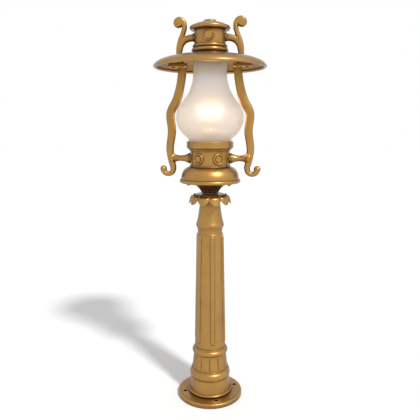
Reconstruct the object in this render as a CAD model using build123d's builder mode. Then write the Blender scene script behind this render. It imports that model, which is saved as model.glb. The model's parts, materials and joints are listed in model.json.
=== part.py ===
"""Garden lamp post: bolted foot, reeded column, leaf collar and a pear-glass lantern under a round shade.

Millimetres, +Z up, origin in the middle of the underside. X runs along the two arms, the front is -Y.
"""

from build123d import *
import os
from math import acos, asin, cos, degrees, hypot, pi, radians, sin, sqrt

os.makedirs("parts", exist_ok=True)

# Fits and fasteners
spigot_gap = 0.3
hole_gap = 0.4
thread_gap = 0.1
screw_tip = 1.0
register_height = 4.0
rod_r = 6.5
rod_bore_r = 4.5
rod_end = 5.0
nut_flats = 22.0
nut_thick = 8.0
washer_r = 17.0
washer_thick = 2.5
bush_bore_r = 3.2
bush_length = 10.0
bush_flange = 2.0

# Base casting
plate_r = 78.5
plate_thick = 12.0
plate_edge = 3.5
plate_step = 1.0
plate_step_r = 72.0
bolt_circle_r = 63.0
bolt_hole_r = 4.5
bolt_count = 4
base_turn = 19.0
foot_r = 51.2
foot_top_r = 47.2
foot_height = 38.0
foot_bead = 2.6
roll_r = 49.4
roll_height = 18.0
step_r = 45.6
step_height = 4.0
skirt_r = 43.4
skirt_top_r = 39.6
skirt_height = 38.0
skirt_groove_r = 1.5
skirt_groove_end = 2.5
skirt_grooves = 12
collar_r = 43.2
collar_height = 14.0
base_lip_r = 38.6
base_lip_height = 4.0
base_floor = 16.0
cavity_r = 43.0
cavity_top_r = 32.5

# Column shaft
shaft_r = 37.2
shaft_top_r = 31.2
taper_height = 280.0
shaft_wall = 6.0
neck_r = 29.2
neck_height = 12.0
neck_wall = 4.5
reed_count = 6
reed_width = 10.6
reed_rise = 2.7
reed_foot = 11.0
reed_head = 1.0
reed_turn = 15.0

# Column capital
capital_fillet_r = 30.6
capital_fillet_height = 4.0
capital_roll_r = 33.2
capital_roll_height = 9.0
vase_foot_r = 32.4
capital_height = 77.0
capital_waist_r = 26.6
capital_top_r = 23.2
capital_floor = 10.0
capital_bore_r = 16.5

# Leaf collar
leaf_disc_r = 36.0
leaf_disc_thick = 6.0
leaf_count = 10
leaf_reach = 48.0
leaf_drop = 26.0
leaf_shoulder = 15.0
leaf_step = 2.0
leaf_thick = 2.6
leaf_lobe_r = 21.0
leaf_flat = 9.0
leaf_flare = 1.2
leaf_scallop_r = 14.8
leaf_bead_r = 2.5
leaf_turn = 21.0

# Fluted cone under the lantern
cone_neck_r = 18.6
cone_neck_height = 3.5
cone_foot_r = 19.8
cone_top_r = 41.0
cone_height = 24.0
cone_wall = 5.5
cone_floor = 6.0
flute_count = 12
flute_depth = 1.5
flute_turn = 20.0

# Lantern dish and bowl
dish_floor = 5.0
dish_height = 11.5
dish_foot_r = 44.0
dish_rim_out = 3.7
dish_rim_under = 2.5
dish_under_in = 1.5
dish_lip = 0.4
dish_seat = 2.0
bowl_r = 67.5
bell_height = 28.0
bell_top_r = 47.0
bell_bead = 3.0
bell_bead_rise = 1.3
drum_r = 46.0
drum_height = 35.5
drum_wall = 5.5
font_wall = 4.6
medallion_r = 13.4
medallion_ring = 2.3
medallion_rise = 1.4
medallion_groove = 1.0
medallion_lift = 0.4
medallion_angles = (30.0, 150.0, 210.0, 330.0)
seat_r = 12.5
seat_rise = 2.5
dish_screw_in = 13.5
dish_screw_r = 2.5
dish_screw_grip = 13.0
dish_boss_r = 5.5
dish_boss_height = 18.0

# Gallery and glass
gallery_plate_thick = 2.0
gallery_plate_r = 45.4
gallery_neck_r = 48.4
gallery_neck_height = 1.5
gallery_r = 54.0
gallery_chamfer = 5.0
gallery_height = 20.5
gallery_ledge = 8.0
gallery_hole_r = 38.0
gallery_screw_r = 2.0
gallery_screw_circle = 43.2
gallery_screw_grip = 10.0
gasket_thick = 2.0
glass_wall = 3.0
glass_play = 1.3
glass_foot_r = 49.4
glass_height = 196.5
belly_r = 77.5
belly_rise = 64.0
belly_half = 61.0
shoulder_rise = 37.0
neck_glass_r = 37.0
neck_glass_height = 39.5

# Shade
shade_r = 126.5
shade_rise = 26.0
shade_wall = 3.2
shade_seat_r = 44.0
shade_seat_thick = 4.6
shade_hole_r = 33.0
shade_bead_r = 3.4
shade_bead_inset = 2.4
glass_collar_wall = 3.0
glass_collar_drop = 11.0
pad_rise = 7.7
boss_inner = 60.0
boss_outer = 93.0
boss_width = 16.0

# Bead ring, top drum and cap
ring_height = 21.0
ring_foot_r = 39.4
ring_foot_height = 3.5
ring_roll_r = 41.6
ring_roll_height = 10.5
ring_bead_r = 39.4
ring_groove_r = 37.4
register_wall = 1.5
top_drum_r = 35.5
top_drum_wall = 4.0
top_drum_height = 29.5
top_seat_drop = 13.0
top_medallion_r = 12.8
top_medallion_ring = 1.3
top_seat_r = 9.5
top_seat_rise = 2.0
cap_gasket_thick = 1.5
cap_r = 45.6
cap_brim_height = 9.4
cap_rise = 17.4
cap_dome_r = 41.0
cap_wall = 3.4
cap_shoulder = 15.0
cap_spigot_depth = 6.0
cap_spigot_wall = 3.0
knob_r = 15.2
knob_height = 5.6
knob_edge = 1.7
knob_stud_r = 3.0
knob_stud_length = 14.0
knob_nut_flats = 10.0
knob_nut_thick = 5.0

# Arms and brackets
arm_thick = 16.0
arm_round = 5.0
arm_width = 19.4
arm_gap = 5.2
arm_top_x = 61.5
arm_steps = 30
arm_neck_out = 30.0
arm_neck_rise = 72.0
arm_shoulder_rise = 40.0
arm_shoulder_gap = 8.2
arm_side_rise = 12.0
arm_side_in = 0.9
arm_waist_drop = 30.0
arm_waist_in = 4.2
arm_elbow_rise = 16.0
arm_elbow_out = 1.3
arm_wrist_drop = 8.0
arm_wrist_in = 3.0
arm_widths = (19.6, 19.8, 21.4, 19.6, 19.4, 17.6, 16.0, 13.8, 12.6, 11.8, 13.0)
pad_inner = 52.0
pad_outer = 94.0
pad_thick = 8.4
pad_width = 17.0
pad_round = 1.5
branch_r = 6.4
branch_root_r = 9.0
branch_mouth_r = 11.0
branch_mouth = 5.0
hook_r = 11.8
hook_out = 97.9
hook_drop = 25.0
hook_ball_r = 7.9
bracket_thick = 14.0
bracket_round = 4.0
bracket_leg_x = 69.0
bracket_leg_width = 13.8
bracket_leg_rise = 18.0
bracket_lean = 4.8
bracket_lean_up = 2.4
bracket_lean_width = 12.0
bracket_neck_width = 11.0
bracket_neck_drop = 15.6
bracket_neck_in = 12.2
bracket_head_width = 11.8
bracket_head_drop = 5.6
bracket_head_in = 13.4
bracket_tip_in = 11.5
bracket_tip_up = 1.8
bracket_branch_height = 15.0
bracket_branch_sink = 2.0
bracket_branch_fall = 1.8
bracket_web_sag = 2.8
bracket_web_inset = 0.5
bracket_web_overlap = 2.0
scroll_x = 70.6
scroll_r = 11.4
scroll_lift = 34.0
crook_r = 9.5
crook_in = 9.1
crook_up = 3.3
arm_screw_r = 2.5
arm_screw_grip = 16.0
bracket_screw_grip = 12.0
foot_screw_r = 3.0
foot_screw_head_r = 5.0
foot_screw_head = 6.0
foot_screw_grip = 16.0
pad_screw_r = 2.5
pad_screw_x = 84.0
pad_screw_grip = 8.0
screw_head_r = 4.6
screw_head = 3.2
screw_head_edge = 1.3

# Lamp holder, bulb and wiring
nipple_r = 5.0
nipple_bore_r = 3.6
nipple_drop = 10.0
nipple_rise = 6.0
nipple_nut_flats = 14.0
nipple_nut_thick = 4.0
holder_r = 22.0
holder_top_r = 20.0
holder_height = 42.0
holder_floor = 8.0
holder_mouth_r = 15.2
holder_lip = 3.0
thread_shell_r = 13.6
thread_shell_wall = 0.6
thread_shell_short = 2.0
bulb_seat = 10.0
bulb_cap_r = 13.2
bulb_cap_height = 26.0
bulb_tip_height = 3.0
bulb_tip_r = 5.0
bulb_r = 30.0
bulb_length = 112.0
bulb_wall = 1.2
bulb_join = 30.0
bulb_neck_inset = 0.4
bulb_shoulder_r = 6.0
bulb_shoulder = 5.0
contact_length = 24.0
contact_width = 6.0
contact_thick = 0.8
block_size = (30.0, 16.0, 14.0)
block_round = 2.0
block_back = 30.0
block_hole_r = 2.0
lead_r = 1.2
lead_pitch = 3.4
lead_rise = 14.0
lead_bend = 9.0
lead_short = 1.0
earth_screw_x = -32.0

# Heights of the stack, each from the piece below it
plate_top = plate_thick
roll_foot = plate_top + foot_height
roll_head = roll_foot + roll_height
skirt_foot = roll_head + step_height
skirt_head = skirt_foot + skirt_height
collar_head = skirt_head + collar_height
base_top = collar_head + base_lip_height
base_floor_under = base_top - base_floor
taper_top = base_top + taper_height
shaft_top = taper_top + neck_height
capital_top = shaft_top + capital_height
leaf_top = capital_top + leaf_disc_thick
leaf_tip = leaf_top - leaf_drop
cone_top = leaf_top + cone_height
dish_rim_r = bowl_r + dish_rim_out
dish_under_r = bowl_r - dish_under_in
dish_screw_circle = bowl_r - dish_screw_in
dish_top = cone_top + dish_height
dish_inside = cone_top + dish_floor
bell_top = dish_top + bell_height
drum_top = bell_top + drum_height
medallion_z = (bell_top + bell_bead + drum_top) / 2
gallery_foot = drum_top + gallery_plate_thick
gallery_shelf = gallery_foot + gallery_ledge
gallery_top = gallery_foot + gallery_height
glass_foot = gallery_shelf + gasket_thick
belly_z = glass_foot + belly_rise
glass_top = glass_foot + glass_height
shade_seat_under = glass_top + gasket_thick
shade_top = shade_seat_under + shade_seat_thick
rim_z = shade_top - shade_rise
pad_top = rim_z + pad_rise
pad_under = pad_top - pad_thick
ring_top = shade_top + ring_height
top_drum_top = ring_top + top_drum_height
top_seat_z = top_drum_top - top_seat_drop
cap_foot = top_drum_top + cap_gasket_thick
brim_top = cap_foot + cap_brim_height
cap_top = cap_foot + cap_rise
bulb_tip = gallery_foot + bulb_seat
bulb_cap_foot = bulb_tip + bulb_tip_height
bulb_cap_top = bulb_cap_foot + bulb_cap_height
bulb_top = bulb_tip + bulb_length

# Radii that follow from the ones above
rod_hole_r = rod_r + hole_gap
shaft_bore_r = shaft_r - shaft_wall
neck_bore_r = neck_r - neck_wall
drum_bore_r = drum_r - drum_wall
top_drum_bore_r = top_drum_r - top_drum_wall
ring_bore_r = top_drum_bore_r + register_wall + spigot_gap
belly_x = belly_r + arm_gap + arm_width / 2


def finish(piece, name):
    """Label a finished piece and write it."""
    piece.part.label = name
    export_step(piece.part, f"parts/{name}.step")


def around(count, turn):
    """Even places round the axis, the first one turned from the front towards the right."""
    return PolarLocations(0, count, start_angle=turn - 90)


def hex_r(flats):
    """Corner radius of a hexagon from its width across flats."""
    return flats / sqrt(3)


def crown(r, low, high):
    """The upper arc of a round-topped revolved piece, from its edge up to the axis."""
    ball_r = (r**2 + (high - low) ** 2) / (2 * (high - low))
    half = asin(r / ball_r) / 2
    middle = (ball_r * sin(half), high - ball_r * (1 - cos(half)))
    return ThreePointArc((r, low), middle, (0, high))


def shaft_radius(z):
    """Plain radius of the tapering shaft at a height."""
    return shaft_r + (shaft_top_r - shaft_r) * (z - base_top) / taper_height


def shaft_bore(z):
    """Radius of the tapering bore of the shaft at a height."""
    return shaft_bore_r + (neck_bore_r - shaft_bore_r) * (z - base_top) / (shaft_top - base_top)


def belly_radius(rise):
    """Outside radius of the glass belly at a height above its widest ring."""
    return belly_r * sqrt(1 - (rise / belly_half) ** 2)


def shade_height(r, inset=0.0):
    """Height of the shade's curve at a radius, on its outside or inset into its wall."""
    wide = shade_r - inset
    tall = shade_curve_height - inset
    return rim_z + tall * sqrt(1 - (r / wide) ** 2)


shade_curve_height = shade_rise / sqrt(1 - (shade_seat_r / shade_r) ** 2)

# Base casting

with BuildPart() as skirt_groove:
    slant = Plane(
        origin=(skirt_r, 0, skirt_foot),
        x_dir=(0, 1, 0),
        z_dir=(skirt_top_r - skirt_r, 0, skirt_height),
    )
    with BuildSketch(slant.offset(skirt_groove_end)):
        Circle(skirt_groove_r)
    extrude(amount=hypot(skirt_top_r - skirt_r, skirt_height) - 2 * skirt_groove_end)

with BuildPart() as base_casting:
    with BuildSketch(Plane.XZ):
        with BuildLine():
            rim = plate_top - plate_step
            Polyline((cavity_r, 0), (plate_r, 0), (plate_r, rim - plate_edge))
            RadiusArc((plate_r, rim - plate_edge), (plate_r - plate_edge, rim), -plate_edge)
            Polyline(
                (plate_r - plate_edge, rim),
                (plate_step_r, rim),
                (plate_step_r, plate_top),
                (foot_r, plate_top),
            )
            bead_top = plate_top + 2 * foot_bead
            ThreePointArc(
                (foot_r, plate_top),
                (foot_r + foot_bead, plate_top + foot_bead),
                (foot_r, bead_top),
            )
            Line((foot_r, bead_top), (foot_top_r, roll_foot))
            ThreePointArc(
                (foot_top_r, roll_foot),
                (roll_r, (roll_foot + roll_head) / 2),
                (step_r, roll_head),
            )
            Polyline(
                (step_r, roll_head),
                (step_r, skirt_foot),
                (skirt_r, skirt_foot),
                (skirt_top_r, skirt_head),
            )
            ThreePointArc(
                (skirt_top_r, skirt_head),
                (collar_r, (skirt_head + collar_head) / 2),
                (base_lip_r, collar_head),
            )
            register_top = base_top + register_height
            register_r = shaft_bore(register_top) - spigot_gap
            Polyline(
                (base_lip_r, collar_head),
                (base_lip_r, base_top),
                (register_r, base_top),
                (register_r, register_top),
                (rod_hole_r, register_top),
                (rod_hole_r, base_floor_under),
                (cavity_top_r, base_floor_under),
                (cavity_r, 0),
            )
        make_face()
    revolve(axis=Axis.Z)
    with around(skirt_grooves, base_turn + 180 / skirt_grooves):
        add(skirt_groove.part, mode=Mode.SUBTRACT)
    with BuildSketch():
        with PolarLocations(bolt_circle_r, bolt_count, start_angle=base_turn - 90):
            Circle(bolt_hole_r)
    extrude(amount=plate_thick, mode=Mode.SUBTRACT)
finish(base_casting, "base_casting")

# Column shaft with its raised reeds

reed_tool_r = (reed_width**2 / 4 + reed_rise**2) / (2 * reed_rise)
reed_sunk = reed_tool_r - reed_rise
reed_low = base_top + reed_foot + reed_width / 2
reed_high = taper_top - reed_head - reed_width / 2

with BuildPart() as reed:
    low = Vector(shaft_radius(reed_low) - reed_sunk, 0, reed_low)
    high = Vector(shaft_radius(reed_high) - reed_sunk, 0, reed_high)
    with BuildSketch(Plane(origin=low, x_dir=(0, 1, 0), z_dir=high - low)):
        Circle(reed_tool_r)
    extrude(amount=(high - low).length)
    with Locations(low, high):
        Sphere(reed_tool_r)

with BuildPart() as column_shaft:
    with BuildSketch(Plane.XZ):
        with BuildLine():
            Polyline(
                (0, base_top),
                (shaft_r, base_top),
                (shaft_top_r, taper_top),
                (neck_r, taper_top + (shaft_top_r - neck_r)),
                (neck_r, shaft_top),
                (0, shaft_top),
                close=True,
            )
        make_face()
    revolve(axis=Axis.Z)
    with around(reed_count, reed_turn):
        add(reed.part)
    with BuildSketch(Plane.XZ):
        with BuildLine():
            Polyline(
                (0, base_top),
                (shaft_bore_r, base_top),
                (neck_bore_r, shaft_top),
                (0, shaft_top),
                close=True,
            )
        make_face()
    revolve(axis=Axis.Z, mode=Mode.SUBTRACT)
finish(column_shaft, "column_shaft")

# Vase-shaped capital

with BuildPart() as column_capital:
    with BuildSketch(Plane.XZ):
        with BuildLine():
            register_r = neck_bore_r - spigot_gap
            roll_low = shaft_top + capital_fillet_height
            roll_high = roll_low + capital_roll_height
            Polyline(
                (capital_bore_r, shaft_top - register_height),
                (register_r, shaft_top - register_height),
                (register_r, shaft_top),
                (capital_fillet_r, shaft_top),
                (capital_fillet_r, roll_low),
            )
            ThreePointArc(
                (capital_fillet_r, roll_low),
                (capital_roll_r, (roll_low + roll_high) / 2),
                (vase_foot_r, roll_high),
            )
            Spline(
                (vase_foot_r, roll_high),
                (capital_waist_r, shaft_top + capital_height / 2),
                (capital_top_r, capital_top),
                tangents=((-0.5, 1), (-0.05, 1)),
            )
            Polyline(
                (capital_top_r, capital_top),
                (rod_hole_r, capital_top),
                (rod_hole_r, capital_top - capital_floor),
                (capital_bore_r, capital_top - capital_floor),
                (capital_bore_r, shaft_top - register_height),
            )
        make_face()
    revolve(axis=Axis.Z)
finish(column_capital, "column_capital")

# Leaf collar: one drooping leaf, repeated round a disc

leaf_axis = leaf_reach - leaf_lobe_r
leaf_level = leaf_top - leaf_step
leaf_bend = leaf_level - leaf_shoulder
leaf_half = 180 / leaf_count

with BuildPart() as leaf:
    with BuildSketch(Plane.XZ):
        with BuildLine():
            bend_x = leaf_axis + leaf_flat
            Line((leaf_axis, leaf_level), (bend_x, leaf_level))
            EllipticalCenterArc((bend_x, leaf_bend), leaf_lobe_r - leaf_flat, leaf_shoulder, arc_size=90)
            inner_wide = leaf_lobe_r - leaf_flat - leaf_thick
            inner_tall = leaf_shoulder - leaf_thick
            EllipticalCenterArc((bend_x, leaf_bend), inner_wide, inner_tall, arc_size=90)
            Polyline(
                (leaf_reach, leaf_bend),
                (leaf_reach + leaf_flare, leaf_tip),
                (leaf_reach + leaf_flare - leaf_thick, leaf_tip),
                (leaf_reach - leaf_thick, leaf_bend),
            )
            Polyline(
                (bend_x, leaf_level - leaf_thick),
                (leaf_axis, leaf_level - leaf_thick),
                (leaf_axis, leaf_level),
            )
        make_face()
    revolve(axis=Axis((leaf_axis, 0, 0), (0, 0, 1)))
    with BuildSketch(Plane.XY.offset(leaf_tip)):
        with BuildLine():
            far = leaf_reach + 2 * leaf_flare
            spread = sin(radians(leaf_half)) / cos(radians(leaf_half))
            Polyline(
                (leaf_axis, -leaf_axis * spread),
                (far, -far * spread),
                (far, far * spread),
                (leaf_axis, leaf_axis * spread),
                close=True,
            )
        make_face()
    extrude(amount=leaf_drop, mode=Mode.INTERSECT)
    with BuildSketch(Plane.YZ):
        with Locations((0, leaf_tip + leaf_scallop_r)):
            Circle(leaf_scallop_r)
            Rectangle(2 * leaf_reach, leaf_drop, align=(Align.CENTER, Align.MIN))
    extrude(amount=2 * leaf_reach, mode=Mode.INTERSECT)

with BuildPart() as leaf_collar:
    with BuildSketch(Plane.XY.offset(capital_top)):
        Circle(leaf_disc_r)
    extrude(amount=leaf_disc_thick)
    with around(leaf_count, leaf_turn):
        add(leaf.part)
    with around(leaf_count, leaf_turn + leaf_half):
        with Locations((leaf_disc_r + leaf_bead_r, 0, leaf_level - leaf_thick / 2)):
            Sphere(leaf_bead_r)
    with BuildSketch(Plane.XY.offset(capital_top)):
        Circle(rod_hole_r)
    extrude(amount=leaf_disc_thick, mode=Mode.SUBTRACT)
finish(leaf_collar, "leaf_collar")

# Fluted cone

flute_points = 4 * flute_count


def fluted_ring(r, depth):
    """Points of a wavy ring with one wave for each flute."""
    ring = []
    for i in range(flute_points):
        turn = 2 * pi * i / flute_points
        wave = r - depth / 2 * (1 - cos(flute_count * (turn - radians(flute_turn - 90))))
        ring.append((wave * cos(turn), wave * sin(turn)))
    return ring


cone_foot = leaf_top + cone_neck_height
cone_stations = ((0.0, 0.0, 0.2), (0.3, 0.17, 0.8), (0.65, 0.5, 1.0), (1.0, 1.0, 1.0))

with BuildPart() as pedestal_cone:
    with BuildSketch(Plane.XY.offset(leaf_top)):
        Circle(cone_neck_r)
    extrude(amount=cone_neck_height)
    for up, out, deep in cone_stations:
        with BuildSketch(Plane.XY.offset(cone_foot + up * (cone_top - cone_foot))):
            with BuildLine():
                ring_r = cone_foot_r + out * (cone_top_r - cone_foot_r)
                Spline(*fluted_ring(ring_r, deep * flute_depth), periodic=True)
            make_face()
    loft()
    with BuildSketch(Plane.XZ):
        with BuildLine():
            floor_z = leaf_top + cone_floor
            Line((0, floor_z), (cone_foot_r - cone_wall, floor_z))
            ThreePointArc(
                (cone_foot_r - cone_wall, floor_z),
                (cone_foot_r, (floor_z + cone_top) / 2),
                (cone_top_r - cone_wall, cone_top),
            )
            Polyline((cone_top_r - cone_wall, cone_top), (0, cone_top), (0, floor_z))
        make_face()
    revolve(axis=Axis.Z, mode=Mode.SUBTRACT)
    with BuildSketch(Plane.XY.offset(leaf_top)):
        Circle(rod_hole_r)
    extrude(amount=cone_height, mode=Mode.SUBTRACT)
finish(pedestal_cone, "pedestal_cone")

# Lantern dish

with BuildPart() as font_dish:
    with BuildSketch(Plane.XZ):
        with BuildLine():
            rim_under = cone_top + dish_rim_under
            seat_in = bowl_r - font_wall - dish_seat
            lip_r = bowl_r + dish_lip
            Polyline((rod_hole_r, cone_top), (dish_foot_r, cone_top), (dish_under_r, rim_under))
            ThreePointArc(
                (dish_under_r, rim_under),
                (dish_rim_r, (rim_under + dish_top) / 2),
                (lip_r, dish_top),
            )
            Polyline(
                (lip_r, dish_top),
                (seat_in, dish_top),
                (seat_in, dish_inside),
                (rod_hole_r, dish_inside),
                (rod_hole_r, cone_top),
            )
        make_face()
    revolve(axis=Axis.Z)
    with BuildSketch(Plane.XY.offset(cone_top)):
        with PolarLocations(dish_screw_circle, 3, start_angle=90):
            Circle(dish_screw_r + hole_gap)
    extrude(amount=dish_height, mode=Mode.SUBTRACT)
    with BuildSketch(Plane.XY.offset(cone_top)):
        with Locations((earth_screw_x, 0)):
            Circle(gallery_screw_r + thread_gap)
    extrude(amount=dish_floor, mode=Mode.SUBTRACT)
finish(font_dish, "font_dish")

# Lantern bowl with its round bosses


def medallion(outer_r, ring, face):
    """A raised ring round a raised disc, standing out along X from a drum's face at the height of zero."""
    with BuildPart() as boss:
        with BuildSketch(Plane.XY):
            with BuildLine():
                ring_in = outer_r - 2 * ring
                disc_r = ring_in - medallion_groove
                Polyline((face - drum_wall / 2, 0), (face - drum_wall / 2, outer_r), (face, outer_r))
                ThreePointArc(
                    (face, outer_r),
                    (face + ring, outer_r - ring),
                    (face, ring_in),
                )
                Polyline(
                    (face, ring_in),
                    (face, disc_r),
                    (face + medallion_rise, disc_r - medallion_rise / 2),
                    (face + medallion_rise, 0),
                    (face - drum_wall / 2, 0),
                )
            make_face()
        revolve(axis=Axis.X)
    return boss.part


font_medallion = medallion(medallion_r, medallion_ring, drum_r + medallion_lift)
arm_seat_x = drum_r + seat_rise

with BuildPart() as font_bowl:
    with BuildSketch(Plane.XZ):
        with BuildLine():
            inner_wide = bowl_r - font_wall - drum_bore_r
            inner_tall = bell_height - font_wall
            bead_top = bell_top + bell_bead
            EllipticalCenterArc((bell_top_r, dish_top), bowl_r - bell_top_r, bell_height, arc_size=90)
            ThreePointArc(
                (bell_top_r, bell_top),
                (bell_top_r + bell_bead_rise, bell_top + bell_bead / 2),
                (drum_r, bead_top),
            )
            Polyline(
                (drum_r, bead_top),
                (drum_r, drum_top),
                (drum_bore_r, drum_top),
                (drum_bore_r, dish_top + inner_tall),
            )
            EllipticalCenterArc((drum_bore_r, dish_top), inner_wide, inner_tall, arc_size=90)
            Line((bowl_r - font_wall, dish_top), (bowl_r, dish_top))
        make_face()
    revolve(axis=Axis.Z)
    for angle in medallion_angles:
        with Locations(Location((0, 0, medallion_z), (0, 0, angle - 90))):
            add(font_medallion)
    for side in (1, -1):
        with BuildSketch(Plane.YZ.offset(side * (drum_r - drum_wall / 2))):
            with Locations((0, medallion_z)):
                Circle(seat_r)
        extrude(amount=side * (seat_rise + drum_wall / 2))
    with BuildSketch(Plane.XY.offset(dish_top)):
        with PolarLocations(dish_screw_circle, 3, start_angle=90):
            Circle(dish_boss_r)
    extrude(amount=dish_boss_height)
    with BuildSketch(Plane.YZ):
        with Locations((0, medallion_z)):
            Circle(arm_screw_r + hole_gap)
    extrude(amount=bowl_r, both=True, mode=Mode.SUBTRACT)
    with BuildSketch(Plane.XY.offset(dish_top)):
        with PolarLocations(dish_screw_circle, 3, start_angle=90):
            Circle(dish_screw_r + thread_gap)
    extrude(amount=dish_screw_grip, mode=Mode.SUBTRACT)
    with BuildSketch(Plane.XY.offset(drum_top)):
        with PolarLocations(gallery_screw_circle, 3, start_angle=90):
            Circle(gallery_screw_r + thread_gap)
    extrude(amount=-gallery_screw_grip, mode=Mode.SUBTRACT)
finish(font_bowl, "font_bowl")

# Gallery plate and ring

with BuildPart() as gallery_plate:
    with BuildSketch(Plane.XY.offset(drum_top)):
        Circle(gallery_plate_r)
        Circle(nipple_r + hole_gap, mode=Mode.SUBTRACT)
        with PolarLocations(gallery_screw_circle, 3, start_angle=90):
            Circle(gallery_screw_r + thread_gap, mode=Mode.SUBTRACT)
    extrude(amount=gallery_plate_thick)
finish(gallery_plate, "gallery_plate")

gallery_socket_r = glass_foot_r + glass_play
gallery_head = 2 * gallery_screw_r

with BuildPart() as gallery_ring:
    with BuildSketch(Plane.XZ):
        with BuildLine():
            neck_top = gallery_foot + gallery_neck_height
            Polyline(
                (gallery_hole_r, gallery_foot),
                (gallery_neck_r, gallery_foot),
                (gallery_neck_r, neck_top),
                (gallery_r, neck_top + gallery_chamfer),
                (gallery_r, gallery_top),
                (gallery_socket_r, gallery_top),
                (gallery_socket_r, gallery_shelf),
                (gallery_hole_r, gallery_shelf),
                close=True,
            )
        make_face()
    revolve(axis=Axis.Z)
    lip_edges = gallery_ring.edges().filter_by(GeomType.CIRCLE).group_by(Axis.Z)[-1]
    fillet(lip_edges, (gallery_r - gallery_socket_r) / 3)
    with Locations((0, 0, gallery_shelf)):
        with PolarLocations(gallery_screw_circle, 3, start_angle=90):
            CounterSinkHole(gallery_screw_r + thread_gap, gallery_head + thread_gap, depth=gallery_ledge)
finish(gallery_ring, "gallery_ring")


def countersunk(screw_r, head_r, length):
    """A countersunk screw hanging from a flush head at the height of zero."""
    with BuildPart() as screw:
        with BuildSketch(Plane.XZ):
            with BuildLine():
                Polyline(
                    (0, 0),
                    (head_r, 0),
                    (screw_r, screw_r - head_r),
                    (screw_r, -length),
                    (0, -length),
                    close=True,
                )
            make_face()
        revolve(axis=Axis.Z)
    return screw.part


def countersink(hole_r, head_r, length):
    """A cutting tool for a countersunk hole, open above the head at the height of zero."""
    with BuildPart() as tool:
        with BuildSketch(Plane.XZ):
            with BuildLine():
                Polyline(
                    (0, head_r),
                    (head_r, head_r),
                    (head_r, 0),
                    (hole_r, hole_r - head_r),
                    (hole_r, -length),
                    (0, -length),
                    close=True,
                )
            make_face()
        revolve(axis=Axis.Z)
    return tool.part


def pan_head(screw_r, length):
    """A pan-head screw: its head rests on the height of zero and its shank hangs below it."""
    with BuildPart() as screw:
        with BuildSketch(Plane.XZ):
            with BuildLine():
                Polyline(
                    (0, screw_head),
                    (0, -length),
                    (screw_r, -length),
                    (screw_r, 0),
                    (screw_head_r, 0),
                    (screw_head_r, screw_head_edge),
                )
                crown(screw_head_r, screw_head_edge, screw_head)
            make_face()
        revolve(axis=Axis.Z)
    return screw.part


gallery_reach = gallery_ledge + gallery_plate_thick + gallery_screw_grip - screw_tip
gallery_screw = countersunk(gallery_screw_r, gallery_head, gallery_reach)
with BuildPart() as gallery_screws:
    with Locations((0, 0, gallery_shelf)):
        with PolarLocations(gallery_screw_circle, 3, start_angle=90):
            add(gallery_screw)
finish(gallery_screws, "gallery_screws")

dish_slope = dish_rim_under / (dish_under_r - dish_foot_r)
dish_screw_under = cone_top + dish_slope * (dish_screw_circle - screw_head_r - dish_foot_r)
dish_screw = pan_head(dish_screw_r, dish_top - dish_screw_under + dish_screw_grip - screw_tip)
with BuildPart() as font_dish_screws:
    for k in range(3):
        turn = 90 + 120 * k
        spot_x = dish_screw_circle * cos(radians(turn))
        spot_y = dish_screw_circle * sin(radians(turn))
        with Locations(Location((spot_x, spot_y, dish_screw_under), (180, 0, 0))):
            add(dish_screw)
finish(font_dish_screws, "font_dish_screws")

# Glass and its gaskets


def glass_curve(inset):
    """Profile of the glass, inset into its wall, from foot to top."""
    wide = belly_r - inset
    tall = belly_half - inset
    foot_r = glass_foot_r - inset
    neck = neck_glass_r - inset
    low = -degrees(acos(foot_r / wide))
    high = degrees(asin(shoulder_rise / belly_half))
    straight_top = glass_top - neck_glass_height
    foot_end = (foot_r, belly_z - tall * sin(radians(-low)))
    shoulder = (wide * cos(radians(high)), belly_z + tall * sin(radians(high)))
    slope = (-wide * sin(radians(high)), tall * cos(radians(high)))
    Line((foot_r, glass_foot), foot_end)
    EllipticalCenterArc((0, belly_z), wide, tall, low, arc_size=high - low)
    Spline(shoulder, (neck, straight_top), tangents=(slope, (0, 1)))
    Line((neck, straight_top), (neck, glass_top))
    return (foot_r, glass_foot), (neck, glass_top)


with BuildPart() as chimney_glass:
    with BuildSketch(Plane.XZ):
        with BuildLine():
            outer_foot, outer_top = glass_curve(0.0)
            inner_foot, inner_top = glass_curve(glass_wall)
            Line(outer_foot, inner_foot)
            Line(outer_top, inner_top)
        make_face()
    revolve(axis=Axis.Z)
finish(chimney_glass, "chimney_glass")

with BuildPart() as glass_foot_gasket:
    with BuildSketch(Plane.XY.offset(gallery_shelf)):
        Circle(glass_foot_r + glass_play / 2)
        Circle(glass_foot_r - glass_wall, mode=Mode.SUBTRACT)
    extrude(amount=gasket_thick)
finish(glass_foot_gasket, "glass_foot_gasket")

with BuildPart() as glass_top_gasket:
    with BuildSketch(Plane.XY.offset(glass_top)):
        Circle(neck_glass_r + glass_play / 2)
        Circle(neck_glass_r - glass_wall, mode=Mode.SUBTRACT)
    extrude(amount=gasket_thick)
finish(glass_top_gasket, "glass_top_gasket")

# Shade: a filled dome, less a hollow that leaves the bosses and the glass collar standing

seat_angle = degrees(acos(shade_seat_r / shade_r))

with BuildPart() as dome:
    with BuildSketch(Plane.XZ):
        with BuildLine():
            EllipticalCenterArc((0, rim_z), shade_r, shade_curve_height, arc_size=seat_angle)
            Polyline((shade_seat_r, shade_top), (0, shade_top), (0, rim_z), (shade_r, rim_z))
        make_face()
    revolve(axis=Axis.Z)

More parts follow.
